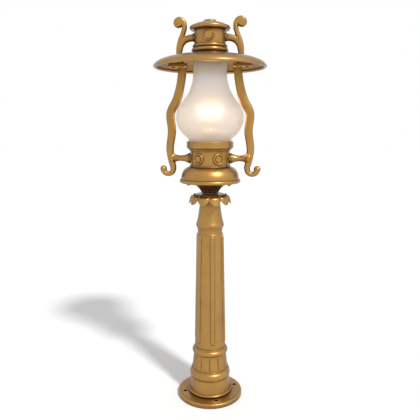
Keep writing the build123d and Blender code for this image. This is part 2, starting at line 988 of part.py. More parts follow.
with BuildPart() as hollow:
    with BuildSketch(Plane.XZ):
        with BuildLine():
            inner_wide = shade_r - shade_wall
            inner_tall = shade_curve_height - shade_wall
            flat_r = inner_wide * sqrt(1 - ((shade_seat_under - rim_z) / inner_tall) ** 2)
            flat_angle = degrees(acos(flat_r / inner_wide))
            EllipticalCenterArc((0, rim_z), inner_wide, inner_tall, arc_size=flat_angle)
            Polyline((flat_r, shade_seat_under), (0, shade_seat_under), (0, rim_z), (inner_wide, rim_z))
        make_face()
    revolve(axis=Axis.Z)
    for side in (1, -1):
        with BuildSketch(Plane.XY.offset(pad_top)):
            with Locations((side * (boss_inner + boss_outer) / 2, 0)):
                SlotOverall(boss_outer - boss_inner, boss_width)
        extrude(amount=shade_rise, mode=Mode.SUBTRACT)
    with BuildSketch(Plane.XY.offset(shade_seat_under - glass_collar_drop)):
        Circle(neck_glass_r + glass_play + glass_collar_wall)
        Circle(neck_glass_r + glass_play, mode=Mode.SUBTRACT)
    extrude(amount=glass_collar_drop, mode=Mode.SUBTRACT)

foot_screw_top = shade_height(bracket_leg_x) + foot_screw_grip

with BuildPart() as shade:
    add(dome.part)
    add(hollow.part, mode=Mode.SUBTRACT)
    with BuildSketch(Plane.XZ):
        with Locations((shade_r - shade_bead_inset, rim_z)):
            Circle(shade_bead_r)
    revolve(axis=Axis.Z)
    with BuildSketch(Plane.XY.offset(shade_seat_under)):
        Circle(shade_hole_r)
    extrude(amount=shade_seat_thick, mode=Mode.SUBTRACT)
    with BuildSketch(Plane.XY.offset(pad_top)):
        with Locations((bracket_leg_x, 0), (-bracket_leg_x, 0)):
            Circle(foot_screw_r + hole_gap)
    extrude(amount=shade_rise, mode=Mode.SUBTRACT)
    with BuildSketch(Plane.XY.offset(pad_top)):
        with Locations((bracket_leg_x, 0), (-bracket_leg_x, 0)):
            Circle(foot_screw_head_r + hole_gap)
    extrude(amount=foot_screw_head, mode=Mode.SUBTRACT)
    with BuildSketch(Plane.XY.offset(pad_top)):
        with Locations((pad_screw_x, 0), (-pad_screw_x, 0)):
            Circle(pad_screw_r + thread_gap)
    extrude(amount=pad_screw_grip, mode=Mode.SUBTRACT)
finish(shade, "shade")

# Bead ring and top drum

with BuildPart() as bead_ring:
    with BuildSketch(Plane.XZ):
        with BuildLine():
            roll_low = shade_top + ring_foot_height
            roll_high = roll_low + ring_roll_height
            Polyline((ring_bore_r, shade_top), (ring_foot_r, shade_top), (ring_groove_r, roll_low))
            ThreePointArc(
                (ring_groove_r, roll_low),
                (ring_roll_r, (roll_low + roll_high) / 2),
                (ring_groove_r, roll_high),
            )
            ThreePointArc(
                (ring_groove_r, roll_high),
                (ring_bead_r, (roll_high + ring_top) / 2),
                (ring_groove_r, ring_top),
            )
            Polyline((ring_groove_r, ring_top), (ring_bore_r, ring_top), (ring_bore_r, shade_top))
        make_face()
    revolve(axis=Axis.Z)
finish(bead_ring, "bead_ring")

top_medallion = medallion(top_medallion_r, top_medallion_ring, top_drum_r + medallion_lift)
bracket_seat_x = top_drum_r + top_seat_rise
bracket_head_r = 2 * arm_screw_r
bracket_head_x = sqrt(top_drum_bore_r**2 - bracket_head_r**2)
bracket_sink = countersink(arm_screw_r + thread_gap, bracket_head_r + thread_gap, top_drum_r)

with BuildPart() as top_drum:
    with BuildSketch(Plane.XY.offset(ring_top)):
        Circle(top_drum_r)
    extrude(amount=top_drum_height)
    for angle in (0, 180):
        with Locations(Location((0, 0, top_seat_z), (0, 0, angle - 90))):
            add(top_medallion)
    for side in (1, -1):
        with BuildSketch(Plane.YZ.offset(side * (top_drum_r - top_drum_wall / 2))):
            with Locations((0, top_seat_z)):
                Circle(top_seat_r)
        extrude(amount=side * (top_seat_rise + top_drum_wall / 2))
    with BuildSketch(Plane.XY.offset(ring_top - register_height)):
        Circle(ring_bore_r - spigot_gap)
    extrude(amount=register_height)
    with BuildSketch(Plane.XY.offset(ring_top - register_height)):
        Circle(top_drum_bore_r)
    extrude(amount=register_height + top_drum_height, mode=Mode.SUBTRACT)
    for side, turn in ((1, -90), (-1, 90)):
        with Locations(Location((side * bracket_head_x, 0, top_seat_z), (0, turn, 0))):
            add(bracket_sink, mode=Mode.SUBTRACT)
finish(top_drum, "top_drum")

# Cap, its gasket and its knob

with BuildPart() as cap_gasket:
    with BuildSketch(Plane.XY.offset(top_drum_top)):
        Circle(top_drum_r - spigot_gap)
        Circle(top_drum_bore_r, mode=Mode.SUBTRACT)
    extrude(amount=cap_gasket_thick)
finish(cap_gasket, "cap_gasket")

cap_spigot_r = top_drum_bore_r - spigot_gap

with BuildPart() as cap:
    with BuildSketch(Plane.XZ):
        with BuildLine():
            spigot_low = cap_foot - cap_spigot_depth
            spigot_in = cap_spigot_r - cap_spigot_wall
            brim_mid = cap_foot + cap_brim_height / 2
            dome_mid = ((cap_dome_r + knob_r) / 2, cap_foot + cap_shoulder)
            Polyline(
                (spigot_in, spigot_low),
                (cap_spigot_r, spigot_low),
                (cap_spigot_r, cap_foot),
                (cap_dome_r, cap_foot),
            )
            ThreePointArc((cap_dome_r, cap_foot), (cap_r, brim_mid), (cap_dome_r, brim_top))
            ThreePointArc((cap_dome_r, brim_top), dome_mid, (knob_r, cap_top))
            Polyline(
                (knob_r, cap_top),
                (knob_stud_r + hole_gap, cap_top),
                (knob_stud_r + hole_gap, cap_top - cap_wall),
                (knob_r, cap_top - cap_wall),
                (spigot_in, brim_mid),
                (spigot_in, spigot_low),
            )
        make_face()
    revolve(axis=Axis.Z)
finish(cap, "cap")

with BuildPart() as cap_knob:
    with BuildSketch(Plane.XZ):
        with BuildLine():
            edge = cap_top + knob_edge
            stud_low = cap_top - knob_stud_length
            Polyline(
                (0, stud_low),
                (knob_stud_r, stud_low),
                (knob_stud_r, cap_top),
                (knob_r, cap_top),
                (knob_r, edge),
            )
            crown(knob_r, edge, cap_top + knob_height)
            Line((0, cap_top + knob_height), (0, stud_low))
        make_face()
    revolve(axis=Axis.Z)
finish(cap_knob, "cap_knob")

with BuildPart() as cap_knob_nut:
    with BuildSketch(Plane.XY.offset(cap_top - cap_wall)):
        RegularPolygon(hex_r(knob_nut_flats), 6)
        Circle(knob_stud_r + thread_gap, mode=Mode.SUBTRACT)
    extrude(amount=-knob_nut_thick)
finish(cap_knob_nut, "cap_knob_nut")

# Arms and brackets, drawn on the right and mirrored to the left


def bar_edges(points, widths):
    """Points along both edges of a bent bar whose middle line runs through the points."""
    middle = Spline(*points, mode=Mode.PRIVATE)
    reached = [0.0]
    for (xa, za), (xb, zb) in zip(points, points[1:]):
        reached.append(reached[-1] + hypot(xb - xa, zb - za))
    left, right = [], []
    for i in range(arm_steps + 1):
        share = i / arm_steps
        along = share * reached[-1]
        k = max(j for j in range(len(points) - 1) if reached[j] <= along)
        part_way = (along - reached[k]) / (reached[k + 1] - reached[k])
        half = (widths[k] + part_way * (widths[k + 1] - widths[k])) / 2
        spot = middle @ share
        way = middle % share
        left.append((spot.X - half * way.Y, spot.Y + half * way.X))
        right.append((spot.X + half * way.Y, spot.Y - half * way.X))
    ends = tuple((way.X, way.Y) for way in (middle % 0, middle % 1))
    return left, right, ends


hook_z = medallion_z - hook_drop


def hook_point(turn):
    """A point on the hook's middle line, turned from its inner side down and round to its outer side."""
    return hook_out - hook_r * cos(radians(turn)), hook_z - hook_r * sin(radians(turn))


shoulder_x = belly_radius(arm_shoulder_rise) + arm_shoulder_gap + arm_width / 2
arm_points = [
    (arm_top_x, pad_top - pad_thick / 2),
    (neck_glass_r + arm_neck_out, belly_z + arm_neck_rise),
    (shoulder_x, belly_z + arm_shoulder_rise),
    (belly_x - arm_side_in, belly_z + arm_side_rise),
    (belly_x - arm_waist_in, belly_z - arm_waist_drop),
    (belly_x + arm_elbow_out, medallion_z + arm_elbow_rise),
    (belly_x - arm_wrist_in, medallion_z - arm_wrist_drop),
    hook_point(0),
    hook_point(45),
    hook_point(90),
    hook_point(135),
    hook_point(180),
]

with BuildPart() as arm_bar:
    with BuildSketch(Plane.XZ):
        with BuildLine():
            left_edge, right_edge, ends = bar_edges(arm_points, (*arm_widths, 2 * hook_ball_r))
            tip_x, tip_z = arm_points[-1]
            out_x, out_z = ends[1]
            Spline(*left_edge, tangents=ends)
            Spline(*right_edge, tangents=ends)
            Line(left_edge[0], right_edge[0])
            ThreePointArc(
                left_edge[-1],
                (tip_x + out_x * hook_ball_r, tip_z + out_z * hook_ball_r),
                right_edge[-1],
            )
        make_face()
    extrude(amount=arm_thick / 2, both=True)
    side_edges = arm_bar.faces().filter_by(Axis.Y).edges()
    long_edges = [edge for edge in side_edges if edge.length > 1.2 * arm_width]
    fillet(long_edges, arm_round)

with BuildPart() as lower_arm_right:
    add(arm_bar.part)
    with BuildSketch(Plane.XZ):
        with BuildLine():
            mouth = arm_seat_x + branch_mouth
            root = belly_x - arm_width / 2
            Polyline(
                (belly_x, medallion_z),
                (arm_seat_x, medallion_z),
                (arm_seat_x, medallion_z + branch_mouth_r),
                (mouth, medallion_z + branch_mouth_r),
            )
            Spline(
                (mouth, medallion_z + branch_mouth_r),
                ((mouth + root) / 2, medallion_z + branch_r),
                (root, medallion_z + branch_root_r),
                tangents=((0.3, -1), (1, 0.5)),
            )
            Polyline(
                (root, medallion_z + branch_root_r),
                (belly_x, medallion_z + branch_root_r),
                (belly_x, medallion_z),
            )
        make_face()
    revolve(axis=Axis((0, 0, medallion_z), (1, 0, 0)))
    with BuildSketch(Plane.XY.offset(pad_under)):
        with Locations(((pad_inner + pad_outer) / 2, 0)):
            RectangleRounded(pad_outer - pad_inner, pad_width, pad_round)
    extrude(amount=pad_thick)
    with BuildSketch(Plane.YZ.offset(arm_seat_x)):
        with Locations((0, medallion_z)):
            Circle(arm_screw_r + thread_gap)
    extrude(amount=arm_screw_grip, mode=Mode.SUBTRACT)
    with BuildSketch(Plane.XY.offset(pad_under)):
        with Locations((pad_screw_x, 0)):
            Circle(pad_screw_r + hole_gap)
    extrude(amount=pad_thick, mode=Mode.SUBTRACT)
finish(lower_arm_right, "lower_arm_right")

with BuildPart() as lower_arm_left:
    mirror(lower_arm_right.part, about=Plane.YZ)
finish(lower_arm_left, "lower_arm_left")

branch_z = top_seat_z - bracket_branch_sink
scroll_z = branch_z + scroll_lift
leg_points = [
    (bracket_leg_x, shade_height(bracket_leg_x) - bracket_leg_width),
    (bracket_leg_x, shade_top),
    (bracket_leg_x, shade_top + bracket_leg_rise),
    (bracket_leg_x - bracket_lean, branch_z + bracket_lean_up),
    (scroll_x - bracket_neck_in, scroll_z - bracket_neck_drop),
    (scroll_x - bracket_head_in, scroll_z - bracket_head_drop),
    (scroll_x - bracket_tip_in, scroll_z + bracket_tip_up),
]
leg_widths = (
    bracket_leg_width,
    bracket_leg_width,
    bracket_leg_width,
    bracket_lean_width,
    bracket_neck_width,
    bracket_head_width,
    bracket_head_width,
)

with BuildPart() as bracket_leg:
    with BuildSketch(Plane.XZ):
        with BuildLine():
            left_edge, right_edge, ends = bar_edges(leg_points, leg_widths)
            Spline(*left_edge, tangents=ends)
            Spline(*right_edge, tangents=ends)
            Line(left_edge[0], right_edge[0])
            Line(left_edge[-1], right_edge[-1])
        make_face()
    extrude(amount=bracket_thick / 2, both=True)
    side_edges = bracket_leg.faces().filter_by(Axis.Y).edges()
    long_edges = [edge for edge in side_edges if edge.length > 2 * bracket_leg_width]
    fillet(long_edges, bracket_round)

with BuildPart() as scroll_ball:
    with BuildSketch(Plane.XZ):
        Circle(scroll_r)
    extrude(amount=bracket_thick / 2, both=True)
    fillet(scroll_ball.edges().filter_by(GeomType.CIRCLE), bracket_round)

with BuildPart() as scroll_crook:
    with BuildSketch(Plane.XZ):
        Circle(crook_r)
    extrude(amount=bracket_thick / 2, both=True)
    fillet(scroll_crook.edges().filter_by(GeomType.CIRCLE), bracket_round)

with BuildPart() as bracket_branch:
    with BuildSketch(Plane.XZ):
        with BuildLine():
            half = bracket_branch_height / 2
            web_out = bracket_leg_x - bracket_leg_width / 2 + bracket_web_overlap
            web_foot = branch_z - bracket_branch_height - half
            Polyline(
                (bracket_leg_x, web_foot),
                (bracket_leg_x, branch_z),
                (bracket_leg_x - bracket_lean, branch_z + half - bracket_branch_fall),
                (bracket_seat_x, branch_z + half),
                (bracket_seat_x, branch_z - half),
            )
            ThreePointArc(
                (bracket_seat_x, branch_z - half),
                ((bracket_seat_x + web_out) / 2, branch_z - half - bracket_web_sag),
                (web_out, web_foot),
            )
            Line((web_out, web_foot), (bracket_leg_x, web_foot))
        make_face()
    extrude(amount=bracket_thick / 2 - bracket_web_inset, both=True)
    web_edges = bracket_branch.faces().filter_by(Axis.Y).edges()
    web_edges = web_edges.filter_by(Axis.Z, reverse=True)
    fillet([edge for edge in web_edges if edge.length > bracket_branch_height], bracket_round)

with BuildPart() as upper_bracket_right:
    add(bracket_leg.part)
    with Locations((scroll_x, 0, scroll_z)):
        add(scroll_ball.part)
    with Locations((scroll_x - crook_in, 0, scroll_z + crook_up)):
        add(scroll_crook.part)
    add(bracket_branch.part)
    add(dome.part, mode=Mode.SUBTRACT)
    with BuildSketch(Plane.YZ.offset(bracket_seat_x)):
        with Locations((0, top_seat_z)):
            Circle(arm_screw_r + thread_gap)
    extrude(amount=bracket_screw_grip, mode=Mode.SUBTRACT)
    with BuildSketch(Plane.XY.offset(pad_top)):
        with Locations((bracket_leg_x, 0)):
            Circle(foot_screw_r + thread_gap)
    extrude(amount=foot_screw_top - pad_top, mode=Mode.SUBTRACT)
finish(upper_bracket_right, "upper_bracket_right")

with BuildPart() as upper_bracket_left:
    mirror(upper_bracket_right.part, about=Plane.YZ)
finish(upper_bracket_left, "upper_bracket_left")

# Screws that hold the arms and brackets

arm_screw = pan_head(arm_screw_r, arm_seat_x - drum_bore_r + arm_screw_grip - screw_tip)
bracket_reach = bracket_seat_x - bracket_head_x + bracket_screw_grip - screw_tip
bracket_screw = countersunk(arm_screw_r, bracket_head_r, bracket_reach)
foot_screw_under = pad_top + foot_screw_head

with BuildPart() as arm_branch_screws:
    head_x = sqrt(drum_bore_r**2 - screw_head_r**2)
    for side, turn in ((1, -90), (-1, 90)):
        with Locations(Location((side * head_x, 0, medallion_z), (0, turn, 0))):
            add(arm_screw)
finish(arm_branch_screws, "arm_branch_screws")

with BuildPart() as bracket_drum_screws:
    for side, turn in ((1, -90), (-1, 90)):
        with Locations(Location((side * bracket_head_x, 0, top_seat_z), (0, turn, 0))):
            add(bracket_screw)
finish(bracket_drum_screws, "bracket_drum_screws")

with BuildPart() as bracket_foot_screws:
    for side in (1, -1):
        with BuildSketch(Plane.XY.offset(foot_screw_under)):
            with Locations((side * bracket_leg_x, 0)):
                Circle(foot_screw_head_r)
        extrude(amount=-foot_screw_head + hole_gap)
        with BuildSketch(Plane.XY.offset(foot_screw_under)):
            with Locations((side * bracket_leg_x, 0)):
                Circle(foot_screw_r)
        extrude(amount=foot_screw_top - foot_screw_under - screw_tip)
finish(bracket_foot_screws, "bracket_foot_screws")

pad_screw = pan_head(pad_screw_r, pad_thick + pad_screw_grip - screw_tip)
with BuildPart() as shade_pad_screws:
    for side in (1, -1):
        with Locations(Location((side * pad_screw_x, 0, pad_under), (180, 0, 0))):
            add(pad_screw)
finish(shade_pad_screws, "shade_pad_screws")

# Tie rod with its nuts and washers

rod_low = base_floor_under - washer_thick - nut_thick - rod_end
rod_high = dish_inside + washer_thick + nut_thick + rod_end

with BuildPart() as tie_rod:
    with BuildSketch(Plane.XY.offset(rod_low)):
        Circle(rod_r)
        Circle(rod_bore_r, mode=Mode.SUBTRACT)
    extrude(amount=rod_high - rod_low)
finish(tie_rod, "tie_rod")

with BuildPart() as cable_bush:
    with BuildSketch(Plane.XY.offset(rod_low)):
        Circle(rod_r)
    extrude(amount=-bush_flange)
    with BuildSketch(Plane.XY.offset(rod_low)):
        Circle(rod_bore_r - thread_gap)
    extrude(amount=bush_length - bush_flange)
    with BuildSketch(Plane.XY.offset(rod_low - bush_flange)):
        Circle(bush_bore_r)
    extrude(amount=bush_length, mode=Mode.SUBTRACT)
finish(cable_bush, "cable_bush")


def washer_and_nut(face, way, washer_name, nut_name):
    """A washer and a hexagon nut on the tie rod, stacked from a face upwards or downwards."""
    with BuildPart() as ring:
        with BuildSketch(Plane.XY.offset(face)):
            Circle(washer_r)
            Circle(rod_r + thread_gap, mode=Mode.SUBTRACT)
        extrude(amount=way * washer_thick)
    finish(ring, washer_name)
    with BuildPart() as nut:
        with BuildSketch(Plane.XY.offset(face + way * washer_thick)):
            RegularPolygon(hex_r(nut_flats), 6)
            Circle(rod_r + thread_gap, mode=Mode.SUBTRACT)
        extrude(amount=way * nut_thick)
    finish(nut, nut_name)


washer_and_nut(base_floor_under, -1, "tie_rod_lower_washer", "tie_rod_lower_nut")
washer_and_nut(dish_inside, 1, "tie_rod_upper_washer", "tie_rod_upper_nut")

# Lamp holder on its nipple

holder_top = gallery_foot + holder_height
floor_top = gallery_foot + holder_floor
shell_top = bulb_cap_top - thread_shell_short
shell_bore_r = thread_shell_r + thread_shell_wall
nipple_top = gallery_foot + nipple_rise

with BuildPart() as holder_nipple:
    with BuildSketch(Plane.XY.offset(drum_top - nipple_drop)):
        Circle(nipple_r)
        Circle(nipple_bore_r, mode=Mode.SUBTRACT)
    extrude(amount=nipple_top - drum_top + nipple_drop)
finish(holder_nipple, "holder_nipple")

with BuildPart() as holder_nut:
    with BuildSketch(Plane.XY.offset(drum_top)):
        RegularPolygon(hex_r(nipple_nut_flats), 6)
        Circle(nipple_r + thread_gap, mode=Mode.SUBTRACT)
    extrude(amount=-nipple_nut_thick)
finish(holder_nut, "holder_nut")

with BuildPart() as lamp_holder:
    with BuildSketch(Plane.XZ):
        with BuildLine():
            Polyline(
                (nipple_r + thread_gap, gallery_foot),
                (holder_r, gallery_foot),
                (holder_r, gallery_foot + holder_height / 2),
                (holder_top_r, holder_top - holder_lip),
                (holder_top_r, holder_top),
                (holder_mouth_r, holder_top),
                (holder_mouth_r, shell_top),
                (shell_bore_r + thread_gap, shell_top),
                (shell_bore_r + thread_gap, floor_top),
                (nipple_r + thread_gap, floor_top),
                close=True,
            )
        make_face()
    revolve(axis=Axis.Z)
finish(lamp_holder, "lamp_holder")

with BuildPart() as holder_screw_shell:
    with BuildSketch(Plane.XY.offset(floor_top)):
        Circle(shell_bore_r)
        Circle(thread_shell_r, mode=Mode.SUBTRACT)
    extrude(amount=shell_top - floor_top)
finish(holder_screw_shell, "holder_screw_shell")

with BuildPart() as holder_contact:
    with BuildSketch(Plane.XY.offset(floor_top)):
        Rectangle(contact_length, contact_width)
    extrude(amount=contact_thick)
    with BuildSketch(Plane.XY.offset(floor_top)):
        Circle(contact_width / 2)
    extrude(amount=bulb_tip - floor_top)
finish(holder_contact, "holder_contact")

# Bulb: glass envelope, screw cap and tip contact


def bulb_curve(inset):
    """Profile of the bulb's glass, inset into its wall, from its neck up to the axis."""
    ball_r = bulb_r - inset
    ball_z = bulb_top - bulb_r
    join_x = ball_r * cos(radians(bulb_join))
    join_rise = ball_r * sin(radians(bulb_join))
    neck_end = (bulb_cap_r - bulb_neck_inset - inset, bulb_cap_top)
    join_point = (join_x, ball_z - join_rise)
    Spline(neck_end, join_point, tangents=((0.05, 1), (join_rise, join_x)))
    ThreePointArc(join_point, (join_x, ball_z + join_rise), (0, ball_z + ball_r))
    return neck_end, (0, ball_z + ball_r)


with BuildPart() as bulb_envelope:
    with BuildSketch(Plane.XZ):
        with BuildLine():
            outer_neck, outer_crown = bulb_curve(0.0)
            inner_neck, inner_crown = bulb_curve(bulb_wall)
            Line(outer_neck, inner_neck)
            Line(outer_crown, inner_crown)
        make_face()
    revolve(axis=Axis.Z)
finish(bulb_envelope, "bulb_envelope")

with BuildPart() as bulb_screw_cap:
    with BuildSketch(Plane.XZ):
        with BuildLine():
            Polyline(
                (0, bulb_cap_foot),
                (bulb_shoulder_r, bulb_cap_foot),
                (bulb_cap_r, bulb_cap_foot + bulb_shoulder),
                (bulb_cap_r, bulb_cap_top),
                (0, bulb_cap_top),
                close=True,
            )
        make_face()
    revolve(axis=Axis.Z)
finish(bulb_screw_cap, "bulb_screw_cap")

with BuildPart() as bulb_tip_contact:
    with BuildSketch(Plane.XY.offset(bulb_tip)):
        Circle(bulb_tip_r)
    extrude(amount=bulb_tip_height)
    fillet(bulb_tip_contact.faces().sort_by(Axis.Z)[0].edges(), bulb_tip_height / 2)
finish(bulb_tip_contact, "bulb_tip_contact")

# Terminal block, leads and earth screw inside the bowl

block_long, block_deep, block_tall = block_size
block_top = dish_inside + block_tall

with BuildPart() as terminal_block:
    with BuildSketch(Plane.XY.offset(dish_inside)):
        with Locations((0, block_back)):
            RectangleRounded(block_long, block_deep, block_round)
    extrude(amount=block_tall)
    with BuildSketch(Plane.XY.offset(block_top)):
        with GridLocations(block_long / 3, 1, 3, 1):
            with Locations((0, block_back - block_deep / 4)):
                Circle(block_hole_r)
    extrude(amount=-block_tall / 2, mode=Mode.SUBTRACT)
finish(terminal_block, "terminal_block")


def lead(side, name):
    """One insulated lead from the terminal block up through the nipple into the lamp holder."""
    start = Vector(side * block_long / 3, block_back, block_top)
    end_x = side * lead_pitch / 2
    nipple_low = drum_top - nipple_drop
    with BuildPart() as wire:
        with BuildLine() as route:
            FilletPolyline(
                start,
                (start.X, start.Y, block_top + lead_rise),
                (end_x, 0, nipple_low - lead_rise),
                (end_x, 0, floor_top - lead_short),
                radius=lead_bend,
            )
        with BuildSketch(Plane(origin=start, z_dir=(0, 0, 1))):
            Circle(lead_r)
        sweep(path=route.wires()[0])
    finish(wire, name)


lead(-1, "live_lead")
lead(1, "neutral_lead")

earth_pan = pan_head(gallery_screw_r, dish_floor - screw_tip)
with BuildPart() as earth_screw:
    with Locations((earth_screw_x, 0, dish_inside)):
        add(earth_pan)
finish(earth_screw, "earth_screw")

shade_across = 2 * (shade_r + shade_bead_r - shade_bead_inset)
print(f"overall height {scroll_z + crook_up + crook_r:.1f} mm, shade {shade_across:.1f} mm across")
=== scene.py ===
# %% [markdown]
# # A cast garden lamp post
# The post is a stack of painted castings on a tie rod: foot, column, capital, leaf collar and a
# lantern whose ribbed glass stands between two scrolled arms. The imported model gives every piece
# its place, so this script only adds what the eye needs: fine shapes, finishes, light and a camera.

# %% Frame
import json
import math

import bmesh
import bpy
import numpy as np
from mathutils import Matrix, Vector


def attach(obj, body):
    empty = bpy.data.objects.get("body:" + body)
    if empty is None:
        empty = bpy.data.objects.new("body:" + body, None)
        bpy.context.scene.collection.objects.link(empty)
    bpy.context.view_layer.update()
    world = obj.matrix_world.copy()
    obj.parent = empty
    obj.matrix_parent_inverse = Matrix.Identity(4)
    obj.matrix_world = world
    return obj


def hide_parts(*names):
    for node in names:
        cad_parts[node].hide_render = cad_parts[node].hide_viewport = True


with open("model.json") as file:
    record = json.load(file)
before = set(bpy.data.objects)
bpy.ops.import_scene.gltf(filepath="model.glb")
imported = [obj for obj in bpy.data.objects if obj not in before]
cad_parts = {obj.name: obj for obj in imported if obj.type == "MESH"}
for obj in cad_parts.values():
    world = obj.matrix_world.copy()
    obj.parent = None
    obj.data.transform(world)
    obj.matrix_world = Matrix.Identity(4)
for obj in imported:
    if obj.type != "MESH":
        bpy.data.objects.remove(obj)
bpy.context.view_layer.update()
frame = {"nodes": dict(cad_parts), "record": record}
nodes = frame["nodes"]
scene = bpy.context.scene
scene.view_settings.view_transform = "Standard"
MM = 0.001

# %% [markdown]
# ## Camera
# The photograph looks a little down on the post from lantern height. Lens, distance, height and
# tilt come from fitting the round rims of the plate, the shade and the cap to their ellipses. A tall
# thing tapers downward in such a view, so a long lens from far away would not look right.

# %% Camera
CAMERA_TURN = math.radians(5.4)
CAMERA_AWAY = 1.142
CAMERA_HEIGHT = 0.655
CAMERA_DIP = math.radians(9.5)
CAMERA_LENS = 42.0
CAMERA_SENSOR = 36.0

camera_data = bpy.data.cameras.new("camera")
camera_data.lens = CAMERA_LENS
camera_data.sensor_width = CAMERA_SENSOR
camera = bpy.data.objects.new("camera", camera_data)
camera.location = (
    CAMERA_AWAY * math.sin(CAMERA_TURN),
    -CAMERA_AWAY * math.cos(CAMERA_TURN),
    CAMERA_HEIGHT,
)
camera.rotation_euler = (math.pi / 2 - CAMERA_DIP, 0, CAMERA_TURN)
scene.collection.objects.link(camera)
scene.camera = camera
print("camera at", [round(v, 3) for v in camera.location])

# %% [markdown]
# ## Writing shaders as sums
# A finish is mostly arithmetic: a noise times a strength, one minus a mask. This small class wraps a
# node socket, so that such a line of Python adds its Math nodes by itself. Every other node comes
# from one method, add, which sets the node's settings first and then its sockets.


# %% Shader helper
class Wire:
    """A node socket that adds Math nodes when it is used in a sum."""

    def __init__(self, tree, socket):
        self.tree, self.socket = tree, socket

    def math(self, operation, first, second):
        node = self.tree.nodes.new("ShaderNodeMath")
        node.operation = operation
        for place, value in enumerate((first, second)):
            plug(self.tree, node.inputs[place], value)
        return Wire(self.tree, node.outputs[0])

    def __add__(self, other):
        return self.math("ADD", self, other)

    def __radd__(self, other):
        return self.math("ADD", other, self)

    def __sub__(self, other):
        return self.math("SUBTRACT", self, other)

    def __rsub__(self, other):
        return self.math("SUBTRACT", other, self)

    def __mul__(self, other):
        return self.math("MULTIPLY", self, other)

    def __rmul__(self, other):
        return self.math("MULTIPLY", other, self)


def plug(tree, socket, value):
    """Link a wire to a socket, or set the socket to a plain value."""
    if isinstance(value, Wire):
        tree.links.new(value.socket, socket)
    else:
        socket.default_value = value


class Finish:
    """A node tree being written, for a material or for the world."""

    def __init__(self, owner):
        owner.use_nodes = True
        self.tree = owner.node_tree
        self.tree.nodes.clear()

    def add(self, kind, settings=None, out=0, **sockets):
        node = self.tree.nodes.new(kind)
        for name, value in (settings or {}).items():
            if name == "stops":
                ramp = node.color_ramp
                while len(ramp.elements) < len(value):
                    ramp.elements.new(0.5)
                for stop, (place, colour) in zip(ramp.elements, value):
                    stop.position, stop.color = place, (*colour, 1.0)
            else:
                setattr(node, name, value)
        for name, value in sockets.items():
            key = int(name[1:]) if name[0] == "i" and name[1:].isdigit() else name.replace("_", " ")
            plug(self.tree, node.inputs[key], value)
        return Wire(self.tree, node.outputs[out])

    def mix(self, share, first, second):
        """Blend two colours."""
        settings = {"data_type": "RGBA"}
        return self.add("ShaderNodeMix", settings, out=2, i0=share, i6=first, i7=second)

    def end(self, shader, kind="ShaderNodeOutputMaterial"):
        plug(self.tree, self.tree.nodes.new(kind).inputs["Surface"], shader)


def material(name):
    made = bpy.data.materials.new(name)
    return made, Finish(made)


print("shader helper ready")

# %% [markdown]
# ## Studio
# The post stands on a white sweep in even light, and one soft sun from the right casts the long
# shadow to the left. Softboxes could light it too, but an even world shows each colour about as it is
# written. The camera, the metal and the glass all see the room as plain white. The floor adds a
# little light of its own for the same rays, so that it reads as white and keeps the shadow.

# %% World, floor and lamp
WHITE = (1.0, 1.0, 1.0, 1.0)
BLACK = (0.0, 0.0, 0.0, 1.0)
PAPER = (0.8, 0.8, 0.8, 1.0)
ROOM_LIGHT = 0.52
FLOOR_LIFT = 0.13
FLOOR_REACH = 12.0
SUN_LIGHT = 2.6
SUN_SPREAD = math.radians(7.0)
SUN_WAY = Vector((-0.45, 0.51, -0.73))


def looked_at(finish):
    """1 for rays from the camera, off metal or through glass, 0 for light that falls on things."""
    camera = finish.add("ShaderNodeLightPath", out=0)
    paths = camera.socket.node.outputs
    metal = Wire(finish.tree, paths["Is Glossy Ray"])
    glass = Wire(finish.tree, paths["Is Transmission Ray"])
    return finish.add("ShaderNodeClamp", Value=camera + metal + glass)


world = bpy.data.worlds.new("sweep")
scene.world = world
sweep = Finish(world)
strength = ROOM_LIGHT + (1.0 - ROOM_LIGHT) * looked_at(sweep)
backdrop = sweep.add("ShaderNodeBackground", Color=WHITE, Strength=strength)
sweep.end(backdrop, "ShaderNodeOutputWorld")

floor_look, paper = material("white_floor")
sheet = paper.add(
    "ShaderNodeBsdfPrincipled",
    Base_Color=PAPER,
    Roughness=0.9,
    Emission_Color=paper.mix(looked_at(paper), BLACK, WHITE),
    Emission_Strength=FLOOR_LIFT,
)
paper.end(sheet)
floor_mesh = bpy.data.meshes.new("floor")
sides = ((-1, -1), (1, -1), (1, 1), (-1, 1))
floor_mesh.from_pydata([(x * FLOOR_REACH, y * FLOOR_REACH, 0) for x, y in sides], [], [(0, 1, 2, 3)])
floor_mesh.materials.append(floor_look)
floor = bpy.data.objects.new("floor", floor_mesh)
scene.collection.objects.link(floor)

sun_data = bpy.data.lights.new("key", "SUN")
sun_data.energy = SUN_LIGHT
sun_data.angle = SUN_SPREAD
sun = bpy.data.objects.new("key", sun_data)
sun.rotation_euler = SUN_WAY.to_track_quat("-Z", "Y").to_euler()
scene.collection.objects.link(sun)
print("sun from", [round(-v, 2) for v in SUN_WAY])

# %% [markdown]
# ## Gold paint
# The castings carry a satin gold paint with fine metal flake. A pure metal would look like polished
# brass and a plain pigment like plastic, so this is part metal and part pigment: the flakes mirror the
# room softly, the pigment keeps its ochre colour in the shade. Where the paint is seen at a slant its
# colour darkens: a little of that is the flop of flat-lying flakes, most is painted shade that rounds
# the forms. A fine grain from the sand mould shows as tiny dimples. Painted shade also darkens narrow
# recesses and the places under overhangs: two Ambient Occlusion nodes, a near and a wide one, find
# those places by themselves, so no mask has to be drawn.

# %% Gold paint
GOLD = (0.315, 0.16, 0.032, 1.0)
# Painted shade colours: the first darkens narrow recesses, the second overhangs and slanted edges.
GOLD_CREVICE_SHADE = (0.11, 0.047, 0.011, 1.0)
GOLD_PAINTED_SHADE = (0.14, 0.062, 0.014, 1.0)
GOLD_PALE = (0.48, 0.268, 0.066, 1.0)
SLANT_SHADE = 0.75
CREVICE_SHADE_REACH = 0.009
OVERHANG_SHADE_REACH = 0.05

